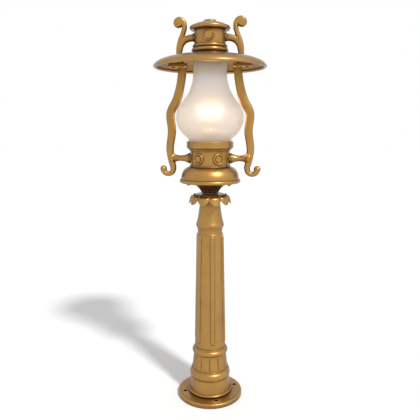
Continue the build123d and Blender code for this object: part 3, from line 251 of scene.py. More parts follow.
gold, paint = material("gold_paint")
place = paint.add("ShaderNodeTexCoord", out=3)
cloud = paint.add("ShaderNodeTexNoise", Vector=place, Scale=28.0, Detail=5.0, Roughness=0.6)
flake = paint.add("ShaderNodeTexNoise", Vector=place, Scale=1400.0, Detail=2.0)
sand = paint.add("ShaderNodeTexNoise", Vector=place, Scale=420.0, Detail=4.0, Roughness=0.65)
# Painted shade: a near Ambient Occlusion darkens the colour in narrow recesses.
hollow = paint.add("ShaderNodeAmbientOcclusion", {"samples": 8}, out=1, Distance=CREVICE_SHADE_REACH)
tone = paint.mix(cloud, GOLD_PALE, GOLD)
crevice_shade = paint.add("ShaderNodeMapRange", Value=hollow, i1=0.3, i2=0.97)
# Painted shade: a wide Ambient Occlusion darkens the colour under overhangs.
wide = paint.add("ShaderNodeAmbientOcclusion", {"samples": 8}, out=1, Distance=OVERHANG_SHADE_REACH)
overhang_shade = paint.add("ShaderNodeMapRange", Value=wide, i1=0.2, i2=0.8)
colour = paint.mix(overhang_shade, GOLD_PAINTED_SHADE, paint.mix(crevice_shade, GOLD_CREVICE_SHADE, tone))
# Painted shade: the colour darkens towards edges seen at a slant, rounding the forms beyond the flakes'
# own flop.
slant = paint.add("ShaderNodeLayerWeight", out=1, Blend=0.5)
soft = {"interpolation_type": "SMOOTHSTEP"}
edge_shade = paint.add("ShaderNodeMapRange", soft, Value=slant, i1=0.15, i2=0.9, i4=SLANT_SHADE)
colour = paint.mix(edge_shade, colour, GOLD_PAINTED_SHADE)
rough = 0.30 + 0.10 * cloud + 0.05 * flake
grain = 0.7 * sand + 0.3 * flake
relief = paint.add("ShaderNodeBump", Strength=0.12, Distance=0.0006, Height=grain)
paint.end(
    paint.add(
        "ShaderNodeBsdfPrincipled",
        Base_Color=colour,
        Metallic=0.8,
        Roughness=rough,
        Coat_Weight=0.3,
        Coat_IOR=1.5,
        Coat_Roughness=0.2,
        Normal=relief,
    )
)
print("gold paint", GOLD[:3])

# %% [markdown]
# ## Frosted glass
# The chimney is pressed glass with a frosted inside, so it is milky and blurs what it covers. A clear
# glass would show the lamp holder, and a white plastic would hide the glow, so this is a rough glass
# that still passes most light. Its colour changes with height, from a peach belly to a grey neck; the
# lighter, warmer belly around the bulb is painted light from it. A trace of emission, strongest around
# the bulb, is a painted glow for the bulb's light that frosted glass holds.

# %% Frosted glass
# Painted glow of the bulb's light in the glass: its strength, then its colours by height.
GLASS_PAINTED_GLOW = 0.013
GLASS_SPAN = (0.614, 0.811)
GLASS_GLOW_COLOURS = [
    (0.0, (0.25, 0.16, 0.09)),
    (0.38, (1.0, 0.74, 0.5)),
    (0.6, (0.62, 0.44, 0.28)),
    (0.8, (0.0, 0.0, 0.0)),
]
# Glass colours by height, lighter and warmer around the bulb as painted light from it.
GLASS_TINT_AND_BULB_LIGHT = [
    (0.0, (0.88, 0.81, 0.75)),
    (0.35, (0.955, 0.905, 0.855)),
    (0.6, (0.91, 0.885, 0.86)),
    (0.78, (0.91, 0.91, 0.92)),
    (1.0, (0.90, 0.85, 0.78)),
]

globe_look, pressed = material("pressed_glass")
where = pressed.add("ShaderNodeTexCoord", out=3)
cord = pressed.add("ShaderNodeTexNoise", Vector=where, Scale=60.0, Detail=3.0)
level = pressed.add("ShaderNodeSeparateXYZ", out=2, Vector=where)
rise = pressed.add("ShaderNodeMapRange", Value=level, i1=GLASS_SPAN[0], i2=GLASS_SPAN[1])
# Painted glow: emission strongest around the bulb stands for its light held in the frosted glass.
painted_glow = pressed.add("ShaderNodeValToRGB", {"stops": GLASS_GLOW_COLOURS}, Fac=rise)
# Painted light: the glass colour is lighter and warmer around the bulb.
tint_lit_by_bulb = pressed.add("ShaderNodeValToRGB", {"stops": GLASS_TINT_AND_BULB_LIGHT}, Fac=rise + 0.03 * cord)
pressed.end(
    pressed.add(
        "ShaderNodeBsdfPrincipled",
        Base_Color=tint_lit_by_bulb,
        Roughness=0.56 + 0.06 * cord,
        IOR=1.15,
        Transmission_Weight=0.8,
        Emission_Color=painted_glow,
        Emission_Strength=GLASS_PAINTED_GLOW,
    )
)
print("glass from", *GLASS_SPAN, "m")

# %% [markdown]
# ## Lit bulb
# A frosted bulb shines through the glass, hottest in its middle. Its envelope glows, which is what the
# eye sees. A glowing mesh alone would light the arms with a lot of noise, so a small point lamp inside
# does that, and the envelope casts no shadow of it.

# %% Lit bulb
BULB_GLOW = 1.25
BULB_SPAN = (0.640, 0.730)
BULB_HEAT = [
    (0.0, (0.05, 0.02, 0.007)),
    (0.28, (0.16, 0.09, 0.04)),
    (0.46, (1.0, 0.89, 0.74)),
    (0.64, (1.0, 0.89, 0.74)),
    (0.85, (0.55, 0.44, 0.30)),
]
GLOW_POWER = 0.6
GLOW_COLOUR = (1.0, 0.86, 0.66)
GLOW_SIZE = 0.022
GLOW_HEIGHT = 0.688

bulb_look, frost = material("lit_bulb")
spot = frost.add("ShaderNodeTexCoord", out=3)
height = frost.add("ShaderNodeSeparateXYZ", out=2, Vector=spot)
share = frost.add("ShaderNodeMapRange", Value=height, i1=BULB_SPAN[0], i2=BULB_SPAN[1])
heat = frost.add("ShaderNodeValToRGB", {"stops": BULB_HEAT}, Fac=share)
frost.end(
    frost.add(
        "ShaderNodeBsdfPrincipled",
        Base_Color=(0.9, 0.87, 0.8, 1.0),
        Roughness=0.4,
        Emission_Color=heat,
        Emission_Strength=BULB_GLOW,
    )
)

glow_data = bpy.data.lights.new("glow", "POINT")
glow_data.color = GLOW_COLOUR
glow_data.energy = GLOW_POWER
glow_data.shadow_soft_size = GLOW_SIZE
glow = bpy.data.objects.new("glow", glow_data)
glow.location = (0.0, 0.0, GLOW_HEIGHT)
scene.collection.objects.link(glow)
nodes["bulb_envelope"].visible_shadow = False
print("lamp at", list(glow.location))

# %% [markdown]
# ## Small parts
# Screws, contacts, rubber, sleeves and the holder are plain workshop materials. No bare metal or
# moulded part is quite even, so one function gives each two tones and a roughness that follow a fine
# noise. Three sets of screws that show were painted over with the castings.


# %% Small parts
def plain(name, pale, deep, rough_low, rough_high, metal, grain):
    """A small-part finish: two tones and a roughness that follow one fine noise."""
    made, tree = material(name)
    where = tree.add("ShaderNodeTexCoord", out=3)
    speck = tree.add("ShaderNodeTexNoise", Vector=where, Scale=grain, Detail=4.0)
    tree.end(
        tree.add(
            "ShaderNodeBsdfPrincipled",
            Base_Color=tree.mix(speck, deep, pale),
            Roughness=rough_low + (rough_high - rough_low) * speck,
            Metallic=metal,
            Normal=tree.add("ShaderNodeBump", Strength=0.15, Distance=0.0003, Height=speck),
        )
    )
    return made


PLAIN = {
    "bulb_cap": ("bulb_cap", (0.8, 0.8, 0.78, 1), (0.6, 0.6, 0.58, 1), 0.22, 0.4, 1.0, 500.0),
    "steel": ("zinc_steel", (0.72, 0.71, 0.66, 1), (0.5, 0.5, 0.46, 1), 0.28, 0.5, 1.0, 600.0),
    "brass": ("brass", (0.83, 0.62, 0.28, 1), (0.6, 0.42, 0.16, 1), 0.25, 0.45, 1.0, 500.0),
    "rubber": ("rubber", (0.05, 0.05, 0.05, 1), (0.025, 0.025, 0.025, 1), 0.6, 0.8, 0.0, 700.0),
    "holder_body": ("white_holder", (0.86, 0.84, 0.8, 1), (0.78, 0.75, 0.7, 1), 0.18, 0.3, 0.0, 300.0),
    "brown_sleeve": ("brown_sleeve", (0.2, 0.08, 0.035, 1), (0.14, 0.05, 0.02, 1), 0.4, 0.55, 0.0, 800),
    "blue_sleeve": ("blue_sleeve", (0.05, 0.14, 0.42, 1), (0.03, 0.09, 0.3, 1), 0.4, 0.55, 0.0, 800),
}
finishes = {"gold_paint": gold, "ribbed_glass": globe_look, "bulb_glass": bulb_look}
finishes.update({slot: plain(*values) for slot, values in PLAIN.items()})
for entry in frame["record"]["subparts"]:
    shown = nodes[entry["node"]]
    shown.data.materials.clear()
    shown.data.materials.append(finishes[entry["material_slot"]])
for painted in ("font_dish_screws", "shade_pad_screws", "bracket_foot_screws"):
    nodes[painted].data.materials[0] = gold
print("finishes", len(finishes))

# %% [markdown]
# ## Turned shapes
# Most castings are round, so each is a profile of radius and height that is spun about the post's
# axis. The Screw modifier could do it, but a spin written out here can also push single points in
# and out, which makes reeds, flutes and ribs real shapes. Corners get a small round, because a cast
# edge under paint is never sharp and the round is what catches the light. A profile that closes on
# the axis stops a hair short of it, so that no face there shrinks to nothing.


# %% Profiles
AXIS = 0.01


def arc(start, via, end, steps=10):
    """The points after start on the circle through three profile points."""
    (ax, ay), (bx, by), (cx, cy) = start, via, end
    squares = ax * ax + ay * ay, bx * bx + by * by, cx * cx + cy * cy
    twice = 2 * (ax * (by - cy) + bx * (cy - ay) + cx * (ay - by))
    mx = (squares[0] * (by - cy) + squares[1] * (cy - ay) + squares[2] * (ay - by)) / twice
    my = (squares[0] * (cx - bx) + squares[1] * (ax - cx) + squares[2] * (bx - ax)) / twice
    radius = math.hypot(ax - mx, ay - my)
    first, middle, last = (math.atan2(y - my, x - mx) for x, y in (start, via, end))
    swing = (last - first) % math.tau
    if (middle - first) % math.tau > swing:
        swing -= math.tau
    turns = [first + swing * i / steps for i in range(1, steps + 1)]
    return [(mx + radius * math.cos(t), my + radius * math.sin(t)) for t in turns]


def oval(middle, wide, tall, low, high, steps=16):
    """Points on an ellipse between two angles in degrees."""
    turns = [math.radians(low + (high - low) * i / steps) for i in range(steps + 1)]
    return [(middle[0] + wide * math.cos(t), middle[1] + tall * math.sin(t)) for t in turns]


def eased(loop, radius=0.7, steps=3, least=25.0):
    """Round each corner of a closed profile, with a point beside each round to keep flats flat."""
    made = []
    for i, corner in enumerate(loop):
        before, after = np.array(loop[i - 1]), np.array(loop[(i + 1) % len(loop)])
        here = np.array(corner)
        back, on = before - here, after - here
        reach_back, reach_on = np.linalg.norm(back), np.linalg.norm(on)
        back, on = back / reach_back, on / reach_on
        turn = 180 - math.degrees(math.acos(np.clip(back @ on, -1, 1)))
        if turn < least:
            made.append(tuple(here))
            continue
        cut = min(radius, 0.3 * reach_back, 0.3 * reach_on)
        start, end = here + cut * back, here + cut * on
        made.append(tuple(start + 0.4 * cut * back))
        for k in range(steps + 1):
            t = k / steps
            made.append(tuple((1 - t) ** 2 * start + 2 * t * (1 - t) * here + t * t * end))
        made.append(tuple(end + 0.4 * cut * on))
    return made


def dense(loop, step):
    """Split the long runs of a closed profile."""
    made = []
    for here, after in zip(loop, loop[1:] + loop[:1]):
        count = max(1, math.ceil(math.dist(here, after) / step))
        start, way = np.array(here), np.array(after) - np.array(here)
        made += [tuple(start + way * k / count) for k in range(count)]
    return made


def spin(loop, columns=160, shape=None):
    """Points and faces of a closed profile spun round the axis, with new radii from shape."""
    turns = np.linspace(0, math.tau, columns, endpoint=False)[:, None]
    radius, height = (np.array(loop)[:, k][None, :] for k in (0, 1))
    if shape:
        radius = shape(turns, radius + 0 * turns, height + 0 * turns)
    x, y = radius * np.sin(turns), -radius * np.cos(turns)
    points = np.stack((x, y, height + 0 * turns), axis=-1)
    rows = len(loop)
    faces = []
    for c in range(columns):
        a, b = c * rows, ((c + 1) % columns) * rows
        faces += [(a + k, b + k, b + (k + 1) % rows, a + (k + 1) % rows) for k in range(rows)]
    return points.reshape(-1, 3), faces


print("profile helpers ready")

# %% [markdown]
# ## From shells to pieces
# A piece is one object made of closed shells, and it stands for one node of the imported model: it
# rides on the same body and takes its material slot. Smooth shading with a sharp limit keeps round
# sides soft and cut edges crisp, where a bevel on every edge would cost far more faces.

# %% Pieces
SHARP_FROM = math.radians(48)


def piece(name, shells, node, body="post", slot="gold_paint"):
    """Make one object of closed shells, in millimetres, and let it stand for a node of the frame."""
    mesh = bpy.data.meshes.new(name)
    points, faces = [], []
    for shell_points, shell_faces in shells:
        base = len(points)
        points += [tuple(MM * float(v) for v in p) for p in shell_points]
        faces += [tuple(base + k for k in face) for face in shell_faces]
    mesh.from_pydata(points, [], faces)
    work = bmesh.new()
    work.from_mesh(mesh)
    bmesh.ops.recalc_face_normals(work, faces=work.faces)
    work.to_mesh(mesh)
    work.free()
    mesh.materials.append(finishes[slot])
    mesh.shade_smooth()
    mesh.set_sharp_from_angle(angle=SHARP_FROM)
    made = bpy.data.objects.new(name, mesh)
    scene.collection.objects.link(made)
    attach(made, body)
    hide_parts(node)
    print(name, len(mesh.polygons), "faces")
    return made


def turned(shell, spots):
    """Copies of a shell, each turned about the post's axis by an angle in degrees."""
    points, faces = shell
    copies = []
    for spot in spots:
        c, s = math.cos(math.radians(spot)), math.sin(math.radians(spot))
        swing = np.array(((c, s, 0), (-s, c, 0), (0, 0, 1)))
        copies.append((np.asarray(points) @ swing, faces))
    return copies


print("pieces can be made")

# %% [markdown]
# ## Foot
# The foot is a bolted plate with a beaded drum, a roll and a skirt whose panels are parted by fine
# grooves. The grooves are pressed into the spin. The four bolt holes are cut through the plate with
# a Boolean, which is the plain way to drill a mesh. The bore in the middle lets the tie rod through.

# %% Foot
ROD_BORE = 6.9
BASE_TURN = 19.0
SKIRT_GROOVES = 12
GROOVE_HALF = 1.6
GROOVE_DEPTH = 1.5
GROOVE_SPAN = (73.5, 108.5)
GROOVE_FADE = 2.5
BOLT_CIRCLE = 63
BOLT_RADIUS = 4.5


def skirt_grooves(turn, radius, height):
    """Press narrow grooves with soft ends into the skirt."""
    pitch = math.tau / SKIRT_GROOVES
    off = (turn - math.radians(BASE_TURN) + pitch) % pitch - pitch / 2
    side = np.clip(1 - (off * radius / GROOVE_HALF) ** 2, 0, 1)
    ends = np.clip((height - GROOVE_SPAN[0]) / GROOVE_FADE, 0, 1)
    ends = ends * np.clip((GROOVE_SPAN[1] - height) / GROOVE_FADE, 0, 1)
    skirt = (radius > 38.5) & (height > 73) & (height < 109)
    return radius - GROOVE_DEPTH * side * ends * skirt


foot_loop = [(43.0, 0.0), (78.5, 0.0), (78.5, 7.5)]
foot_loop += arc((78.5, 7.5), (77.475, 9.975), (75.0, 11.0), 6)
foot_loop += [(72.0, 11.0), (72.0, 12.0), (51.2, 12.0)]
foot_loop += arc((51.2, 12.0), (54.4, 15.2), (51.2, 18.4), 12)
foot_loop += [(47.2, 50.0)]
foot_loop += arc((47.2, 50.0), (49.4, 59.0), (45.6, 68.0), 14)
foot_loop += [(45.6, 72.0), (43.4, 72.0), (39.6, 110.0)]
foot_loop += arc((39.6, 110.0), (43.2, 117.0), (38.6, 124.0), 14)
foot_loop += [(38.6, 128.0), (30.8, 128.0), (30.8, 132.0)]
foot_loop += [(ROD_BORE, 132.0), (ROD_BORE, 112.0), (32.5, 112.0)]
foot = piece("foot", [spin(dense(eased(foot_loop), 2.2), 480, skirt_grooves)], "base_casting")

drills = []
for k in range(4):
    bpy.ops.mesh.primitive_cylinder_add(vertices=40, radius=BOLT_RADIUS * MM, depth=40 * MM)
    drill = bpy.context.object
    spot = math.radians(BASE_TURN + 90 * k)
    away = BOLT_CIRCLE * MM
    drill.location = (away * math.sin(spot), -away * math.cos(spot), 6 * MM)
    drills.append(drill)


def evaluated_mesh(made):
    """A mesh of an object with its modifiers done."""
    graph = bpy.context.evaluated_depsgraph_get()
    return bpy.data.meshes.new_from_object(made.evaluated_get(graph))


def cut(target, tools):
    """Cut tools out of a piece and drop them."""
    for tool in tools:
        hole = target.modifiers.new("hole", "BOOLEAN")
        hole.operation, hole.solver, hole.object = "DIFFERENCE", "EXACT", tool
    shaped = evaluated_mesh(target)
    target.modifiers.clear()
    old, target.data = target.data, shaped
    bpy.data.meshes.remove(old)
    for tool in tools:
        bpy.data.objects.remove(tool)


cut(foot, drills)
print("foot drilled", len(foot.data.polygons), "faces")

# %% [markdown]
# ## Column and capital
# Six slim reeds stand proud of the tapering column, each with a rounded head and foot. They are part
# of the spin: where a point lies on a reed it is pushed out along a half-round section, and a shallow
# hollow beside it draws its edge. Strips laid on the column would leave seams instead. The capital
# above is a plain vase.

# %% Column and capital
REEDS = 6
REED_TURN = 15.0
REED_SPAN = (145.0, 401.5)
REED_HALF = 5.0
REED_RISE = 2.9
HOLLOW_DEPTH = 0.35
HOLLOW_HALF = 0.9


def reeds(turn, radius, height):
    """Raise six half-round reeds that end in half rounds."""
    pitch = math.tau / REEDS
    off = (turn - math.radians(REED_TURN) + pitch / 2) % pitch - pitch / 2
    side = off * radius
    past = np.maximum(0, np.maximum(REED_SPAN[0] - height, height - REED_SPAN[1]))
    left = np.clip(1 - (side**2 + past**2) / REED_HALF**2, 0, 1)
    outside = radius > 30.6
    beside = np.hypot(side, past) - REED_HALF - 0.8
    hollow = HOLLOW_DEPTH * np.exp(-((beside / HOLLOW_HALF) ** 2))
    return radius + (REED_RISE * np.sqrt(left) - hollow) * outside


column_heights = [128.0, *np.arange(138.0, 150.0, 0.8), *np.arange(156.0, 396.0, 8.0)]
column_heights += [*np.arange(396.0, 407.5, 0.8), 408.0]
column_loop = [(37.2 - 6.0 * (h - 128.0) / 280.0, h) for h in column_heights]
column_loop += [(29.2, 410.0), (29.2, 420.0), (24.7, 420.0), (31.2, 128.0)]
piece("column", [spin(eased(column_loop, 0.6), 540, reeds)], "column_shaft")

capital_loop = [(16.5, 416.0), (24.4, 416.0), (24.4, 420.0), (30.6, 420.0), (30.6, 424.0)]
capital_loop += arc((30.6, 424.0), (33.2, 428.5), (32.4, 433.0), 8)
vase = [(32.4, 433.0), (29.4, 444.0), (26.8, 458.5), (24.6, 476.0), (23.2, 497.0)]
capital_loop += vase[1:] + [(ROD_BORE, 497.0), (ROD_BORE, 487.0), (16.5, 487.0)]
piece("capital", [spin(eased(capital_loop), 160)], "column_capital")

# %% [markdown]
# ## Leaf collar
# Ten cast leaves fold over the edge of a round disc, and a bead sits in each notch between two of
# them. A leaf is a bent strip with a rounded tip, so it is laid out as a grid: one way across the
# leaf, one way along it. The strip's middle is pushed out to make it round like a petal, and a copy
# of the grid, moved in along the normals, gives it the thickness of a casting.

# %% Leaf collar
LEAF_TURN = 21.0
LEAVES = 10
LEAF_PITCH = 360 / LEAVES
LEAF_THICK = 2.4
LEAF_RUN = [(37.0, 495.6), (39.8, 500.0), (43.2, 497.8), (45.4, 492.2), (46.6, 486.4), (48.0, 480.2)]


def flow(points, count):
    """Even points on a smooth curve through rows of numbers. The first two columns are the place."""
    points = np.asarray(points, float)
    gaps = np.hypot(*np.diff(points[:, :2], axis=0).T)
    knots = np.concatenate(([0], np.cumsum(gaps)))
    slopes = np.gradient(points, knots, axis=0)
    spots = np.linspace(0, knots[-1], count)
    part = np.clip(np.searchsorted(knots, spots, "right") - 1, 0, len(gaps) - 1)
    span = gaps[part][:, None]
    t = ((spots - knots[part]) / gaps[part])[:, None]
    start, end = points[part], points[part + 1]
    lead, trail = slopes[part] * span, slopes[part + 1] * span
    return (
        (2 * t**3 - 3 * t**2 + 1) * start
        + (t**3 - 2 * t**2 + t) * lead
        + (3 * t**2 - 2 * t**3) * end
        + (t**3 - t**2) * trail
    )


def skin(outer, inner):
    """A closed shell between two grids of points."""
    rows, columns = outer.shape[:2]
    points = np.concatenate((outer.reshape(-1, 3), inner.reshape(-1, 3)))
    half = rows * columns
    faces = []
    for r in range(rows - 1):
        for c in range(columns - 1):
            a = r * columns + c
            b = a + columns
            faces += [(a, a + 1, b + 1, b), (half + a, half + b, half + b + 1, half + a + 1)]
    rim = list(range(columns)) + [r * columns + columns - 1 for r in range(1, rows)]
    rim += [(rows - 1) * columns + c for c in range(columns - 2, -1, -1)]
    rim += [r * columns for r in range(rows - 2, 0, -1)]
    for a, b in zip(rim, rim[1:] + rim[:1]):
        faces.append((a, half + a, half + b, b))
    return points, faces


def leaf():
    """One leaf that points to the front."""
    across = np.linspace(-1, 1, 41)[:, None]
    along = np.linspace(0, 1, 36)[None, :]
    length = 1 - 0.4 * np.abs(across) ** 1.7
    spot = along * length
    run = flow(LEAF_RUN, 200)
    share = np.linspace(0, 1, len(run))
    radius, height = (np.interp(spot, share, run[:, k]) for k in (0, 1))
    swell = np.clip(spot / 0.45, 0, 1) * (1 - across**2)
    radius = radius + 2.2 * swell - 1.2 * np.clip(spot / 0.3, 0, 1) * np.abs(across) ** 6
    turn = np.radians(18.2) * across + 0 * along
    outer = np.stack((radius * np.sin(turn), -radius * np.cos(turn), height), axis=-1)
    lean = np.cross(np.gradient(outer, axis=0), np.gradient(outer, axis=1))
    lean /= np.linalg.norm(lean, axis=-1, keepdims=True)
    inner = outer + LEAF_THICK * lean * np.sign(lean[20, 25, 1])
    return skin(outer, inner)


def ball(centre, radius, rings=14, columns=24):
    """A sphere as a spun half circle, at a place."""
    arc_points = oval((0.0, 0.0), radius, radius, -89.5, 89.5, rings)
    points, faces = spin(arc_points, columns)
    return points + np.array(centre), faces


disc_loop = [(ROD_BORE, 497.0), (33.5, 497.0), (35.0, 498.4)]
disc_loop += [(35.0, 501.6), (33.6, 503.0), (ROD_BORE, 503.0)]
collar_shells = [spin(eased(disc_loop, 0.6), 120)]
leaf_turns = [LEAF_TURN + LEAF_PITCH * k for k in range(LEAVES)]
collar_shells += turned(leaf(), leaf_turns)
collar_shells += turned(ball((0.0, -38.6, 499.8), 2.6), [t + LEAF_PITCH / 2 for t in leaf_turns])
piece("leaf_collar_casting", collar_shells, "leaf_collar")

# %% [markdown]
# ## Lantern foot
# A fluted cone carries a shallow dish, and on it stands the bowl with its plain drum. Four ring
# medallions and two flat seats for the arms stand out of the drum. Each is a small spun shape whose
# axis is laid on its side, so the helper that turns the castings serves for these too.

# %% Cone, dish and bowl
FLUTES = 12
FLUTE_TURN = 20.0
FLUTE_DEPTH = 1.9
SEAT_HEIGHT = 585.75


def flutes(turn, radius, height):
    """Press soft flutes into the flaring side of the cone."""
    wave = 0.5 + 0.5 * np.cos(FLUTES * (turn - math.radians(FLUTE_TURN)))
    side = (radius > 18.0) & (height > 507.5) & (height < 526.0)
    fade = np.clip((height - 507.5) / 4.0, 0, 1) * np.clip((526.0 - height) / 3.0, 0, 1)
    return radius - FLUTE_DEPTH * wave**2 * fade * side


cone_side = flow([(19.8, 506.5), (23.4, 512.65), (30.4, 519.8), (41.0, 527.0)], 15)
cone_loop = [(ROD_BORE, 503.0), (18.6, 503.0), (18.6, 506.5)] + [tuple(p) for p in cone_side]
cone_loop += [(35.0, 527.0), (24.0, 519.0), (14.0, 509.0), (ROD_BORE, 509.0)]
piece("fluted_cone", [spin(eased(cone_loop, 0.5), 240, flutes)], "pedestal_cone")

dish_loop = [(ROD_BORE, 527.0), (44.0, 527.0), (66.0, 529.5)]
dish_loop += arc((66.0, 529.5), (71.2, 534.0), (67.9, 538.5), 12)
dish_loop += [(60.9, 538.5), (60.9, 532.0), (ROD_BORE, 532.0)]
piece("lantern_dish", [spin(eased(dish_loop, 0.6), 200)], "font_dish")


def faced(shell, turn, out, height):
    """Lay a spun shell on its side, its axis pointing out of the post at a turn from the front."""
    points, faces = shell
    t = math.radians(turn)
    aside = np.array((math.cos(t), math.sin(t), 0))
    away = np.array((math.sin(t), -math.cos(t), 0))
    up = np.array((0, 0, 1))
    laid = points[:, :1] * aside + points[:, 1:2] * up + (points[:, 2:] + out) * away
    return laid + height * up, faces


def medallion(radius, ring):
    """A rounded ring round a flat disc."""
    inside = radius - 2 * ring
    loop = [(AXIS, -4.0), (radius, -4.0), (radius, 0.0)]
    loop += arc((radius, 0.0), (radius - ring, ring), (inside, 0.0), 12)
    loop += [(inside - 1.0, 0.0), (inside - 1.7, 1.4), (AXIS, 1.4)]
    return spin(eased(loop, 0.4, least=40), 72)


bowl_loop = oval((47.0, 538.5), 20.5, 28.0, 0, 90, 24)
bowl_loop += arc((47.0, 566.5), (48.3, 568.0), (46.0, 569.5), 8)
bowl_loop += [(46.0, 602.0), (40.5, 602.0), (40.5, 561.9)]
bowl_loop += oval((40.5, 538.5), 22.4, 23.4, 88, 0, 12)
bowl_shells = [spin(eased(bowl_loop, 0.6, least=30), 240)]
for turn in (30, 150, 210, 330):
    bowl_shells.append(faced(medallion(13.4, 2.3), turn, 46.4, SEAT_HEIGHT))
seat_loop = [(AXIS, -4.0), (12.5, -4.0), (12.5, 2.5), (AXIS, 2.5)]
for turn in (90, 270):
    bowl_shells.append(faced(spin(eased(seat_loop, 0.8), 64), turn, 46.0, SEAT_HEIGHT))
piece("lantern_bowl", bowl_shells, "font_bowl")

ring_loop = [(38.0, 604.0), (48.4, 604.0), (48.4, 605.5), (54.0, 610.5)]
ring_loop += [(54.0, 624.5), (50.7, 624.5), (50.7, 612.0), (38.0, 612.0)]
piece("glass_gallery", [spin(eased(ring_loop, 0.9), 200)], "gallery_ring")

# %% [markdown]
# ## Ribbed glass
# The chimney is a pear with a straight neck. Its fine upright ribs were pressed into the outside, so
# they are real ridges here too: they bend what shows through, which paint could not do. Light linking
# keeps the sun and the inner lamp off the glass, since a hard patch would hide its soft middle.

# %% Glass
RIBS = 132
RIB_DEPTH = 0.32
GLASS_THICK = 3.0


def ribs(turn, radius, height):
    """Ridges on the outside of the glass only, fading at its foot and top edge."""
    outline = np.interp(height, glass_heights, glass_radii)
    outside = np.clip((radius - outline + 1.6) / 0.8, 0, 1)
    fade = np.clip((height - 622.0) / 6.0, 0, 1) * np.clip((809.0 - height) / 4.0, 0, 1)
    return radius + RIB_DEPTH * (np.cos(RIBS * turn) - 1.0) * outside * fade


def glass_side(inset):
    """The pear's profile from foot to top."""
    side = [(49.4 - inset, 614.0), (49.4 - inset, 631.0)]
    side += oval((0.0, 678.0), 77.5 - inset, 61.0 - inset, -50.0, 37.0, 26)
    neck = [(61.9, 714.7), (52.4, 728.0), (44.0, 745.0), (39.6, 760.0), (38.1, 773.0)]
    side += [tuple(p) for p in flow([(r - inset, z) for r, z in neck], 14)[1:]]
    return side + [(37.2 - inset, 796.0), (37.0 - inset, 810.5)]


glass_heights = [p[1] for p in glass_side(0.0)]
glass_radii = [p[0] for p in glass_side(0.0)]
glass_loop = dense(eased(glass_side(0.0) + glass_side(GLASS_THICK)[::-1], 0.9, least=50), 6.0)
glass_shells = [spin(glass_loop, RIBS * 6, ribs)]
globe = piece("ribbed_chimney", glass_shells, "chimney_glass", slot="ribbed_glass")
for light in (glow, sun):
    chosen = bpy.data.collections.new(f"{light.name}_glass")
    chosen.objects.link(globe)
    light.light_linking.receiver_collection = chosen
    chosen.collection_objects[0].light_linking.link_state = "EXCLUDE"
glow.light_linking.blocker_collection = glow.light_linking.receiver_collection

# %% [markdown]
# ## Shade
# The shade is a thin spun dome with a rolled rim, a short collar that guides the glass, and two
# bosses where the arms are screwed on. The bosses aren't round about the axis, so they are drawn as
# outlines that reach up into the dome. Shells that overlap are enough, since the joint is hidden.

# %% Shade
RIM_HEIGHT = 791.1
DOME_OUT = (126.5, 27.73)
DOME_IN = (123.3, 24.53)
PAD_TOP = 798.8
BOSS_ROUND = 8.0
BOSS_SPAN = (60.0, 93.0)

dome_out = oval((0.0, RIM_HEIGHT), *DOME_OUT, 0.0, 69.64, 40)
dome_in = oval((0.0, RIM_HEIGHT), *DOME_IN, 60.7, 0.0, 40)
shade_loop = [(33.0, 812.5)] + dome_in + dome_out + [(33.0, 817.1)]
rim_loop = oval((124.1, RIM_HEIGHT), 3.4, 3.4, 0.0, 345.0, 23)
guide_loop = [(38.3, 801.5), (41.3, 801.5), (41.3, 812.8), (38.3, 812.8)]


def boss(side):
    """A long round-ended boss that reaches up into the dome."""
    near, far = BOSS_SPAN[0] + BOSS_ROUND, BOSS_SPAN[1] - BOSS_ROUND
    turns = np.linspace(-math.pi / 2, math.pi / 2, 13)
    ends = [(far + BOSS_ROUND * math.cos(t), BOSS_ROUND * math.sin(t)) for t in turns]
    ends += [(near - BOSS_ROUND * math.cos(t), BOSS_ROUND * math.sin(t)) for t in turns[::-1]]
    wide, tall = DOME_IN
    tops = [RIM_HEIGHT + tall * math.sqrt(1 - (x * x + y * y) / wide**2) + 1.2 for x, y in ends]
    low = [(side * x, y, PAD_TOP) for x, y in ends]
    high = [(side * x, y, z) for (x, y), z in zip(ends, tops)]
    count = len(ends)
    faces = [tuple(range(count)), tuple(range(count, 2 * count))]
    faces += [(k, (k + 1) % count, count + (k + 1) % count, count + k) for k in range(count)]
    return np.array(low + high), faces


shade_shells = [spin(eased(shade_loop, 0.8), 240), spin(rim_loop, 240)]
shade_shells += [spin(eased(guide_loop, 0.6), 120), boss(1), boss(-1)]
piece("round_shade", shade_shells, "shade")

# %% [markdown]
# ## Lantern head
# Over the shade come two beads, a short drum with a medallion at the front and back, and a lift-off
# cap with its flat knob. All are spins. The cap and the knob ride on the cap's own body and not on
# the post's, so they lift together.

# %% Head
DRUM_MIDDLE = 854.6

bead_loop = [(33.3, 817.1), (39.4, 817.1), (37.4, 820.6)]
bead_loop += arc((37.4, 820.6), (41.6, 825.85), (37.4, 831.1), 14)
bead_loop += arc((37.4, 831.1), (39.4, 834.6), (37.4, 838.1), 10) + [(33.3, 838.1)]
piece("two_beads", [spin(eased(bead_loop, 0.4, least=60), 160)], "bead_ring")

drum_loop = [(31.5, 834.1), (33.0, 834.1), (33.0, 838.1), (35.5, 838.1), (35.5, 867.6), (31.5, 867.6)]
drum_shells = [spin(dense(eased(drum_loop, 0.6), 8.0), 160)]
for turn in (0, 180):
    drum_shells.append(faced(medallion(12.8, 1.3), turn, 35.9, DRUM_MIDDLE))
drum_seat = [(AXIS, -4.0), (9.5, -4.0), (9.5, 2.0), (AXIS, 2.0)]
for turn in (90, 270):
    drum_shells.append(faced(spin(eased(drum_seat, 0.7), 56), turn, 35.5, DRUM_MIDDLE))
piece("head_drum", drum_shells, "top_drum")

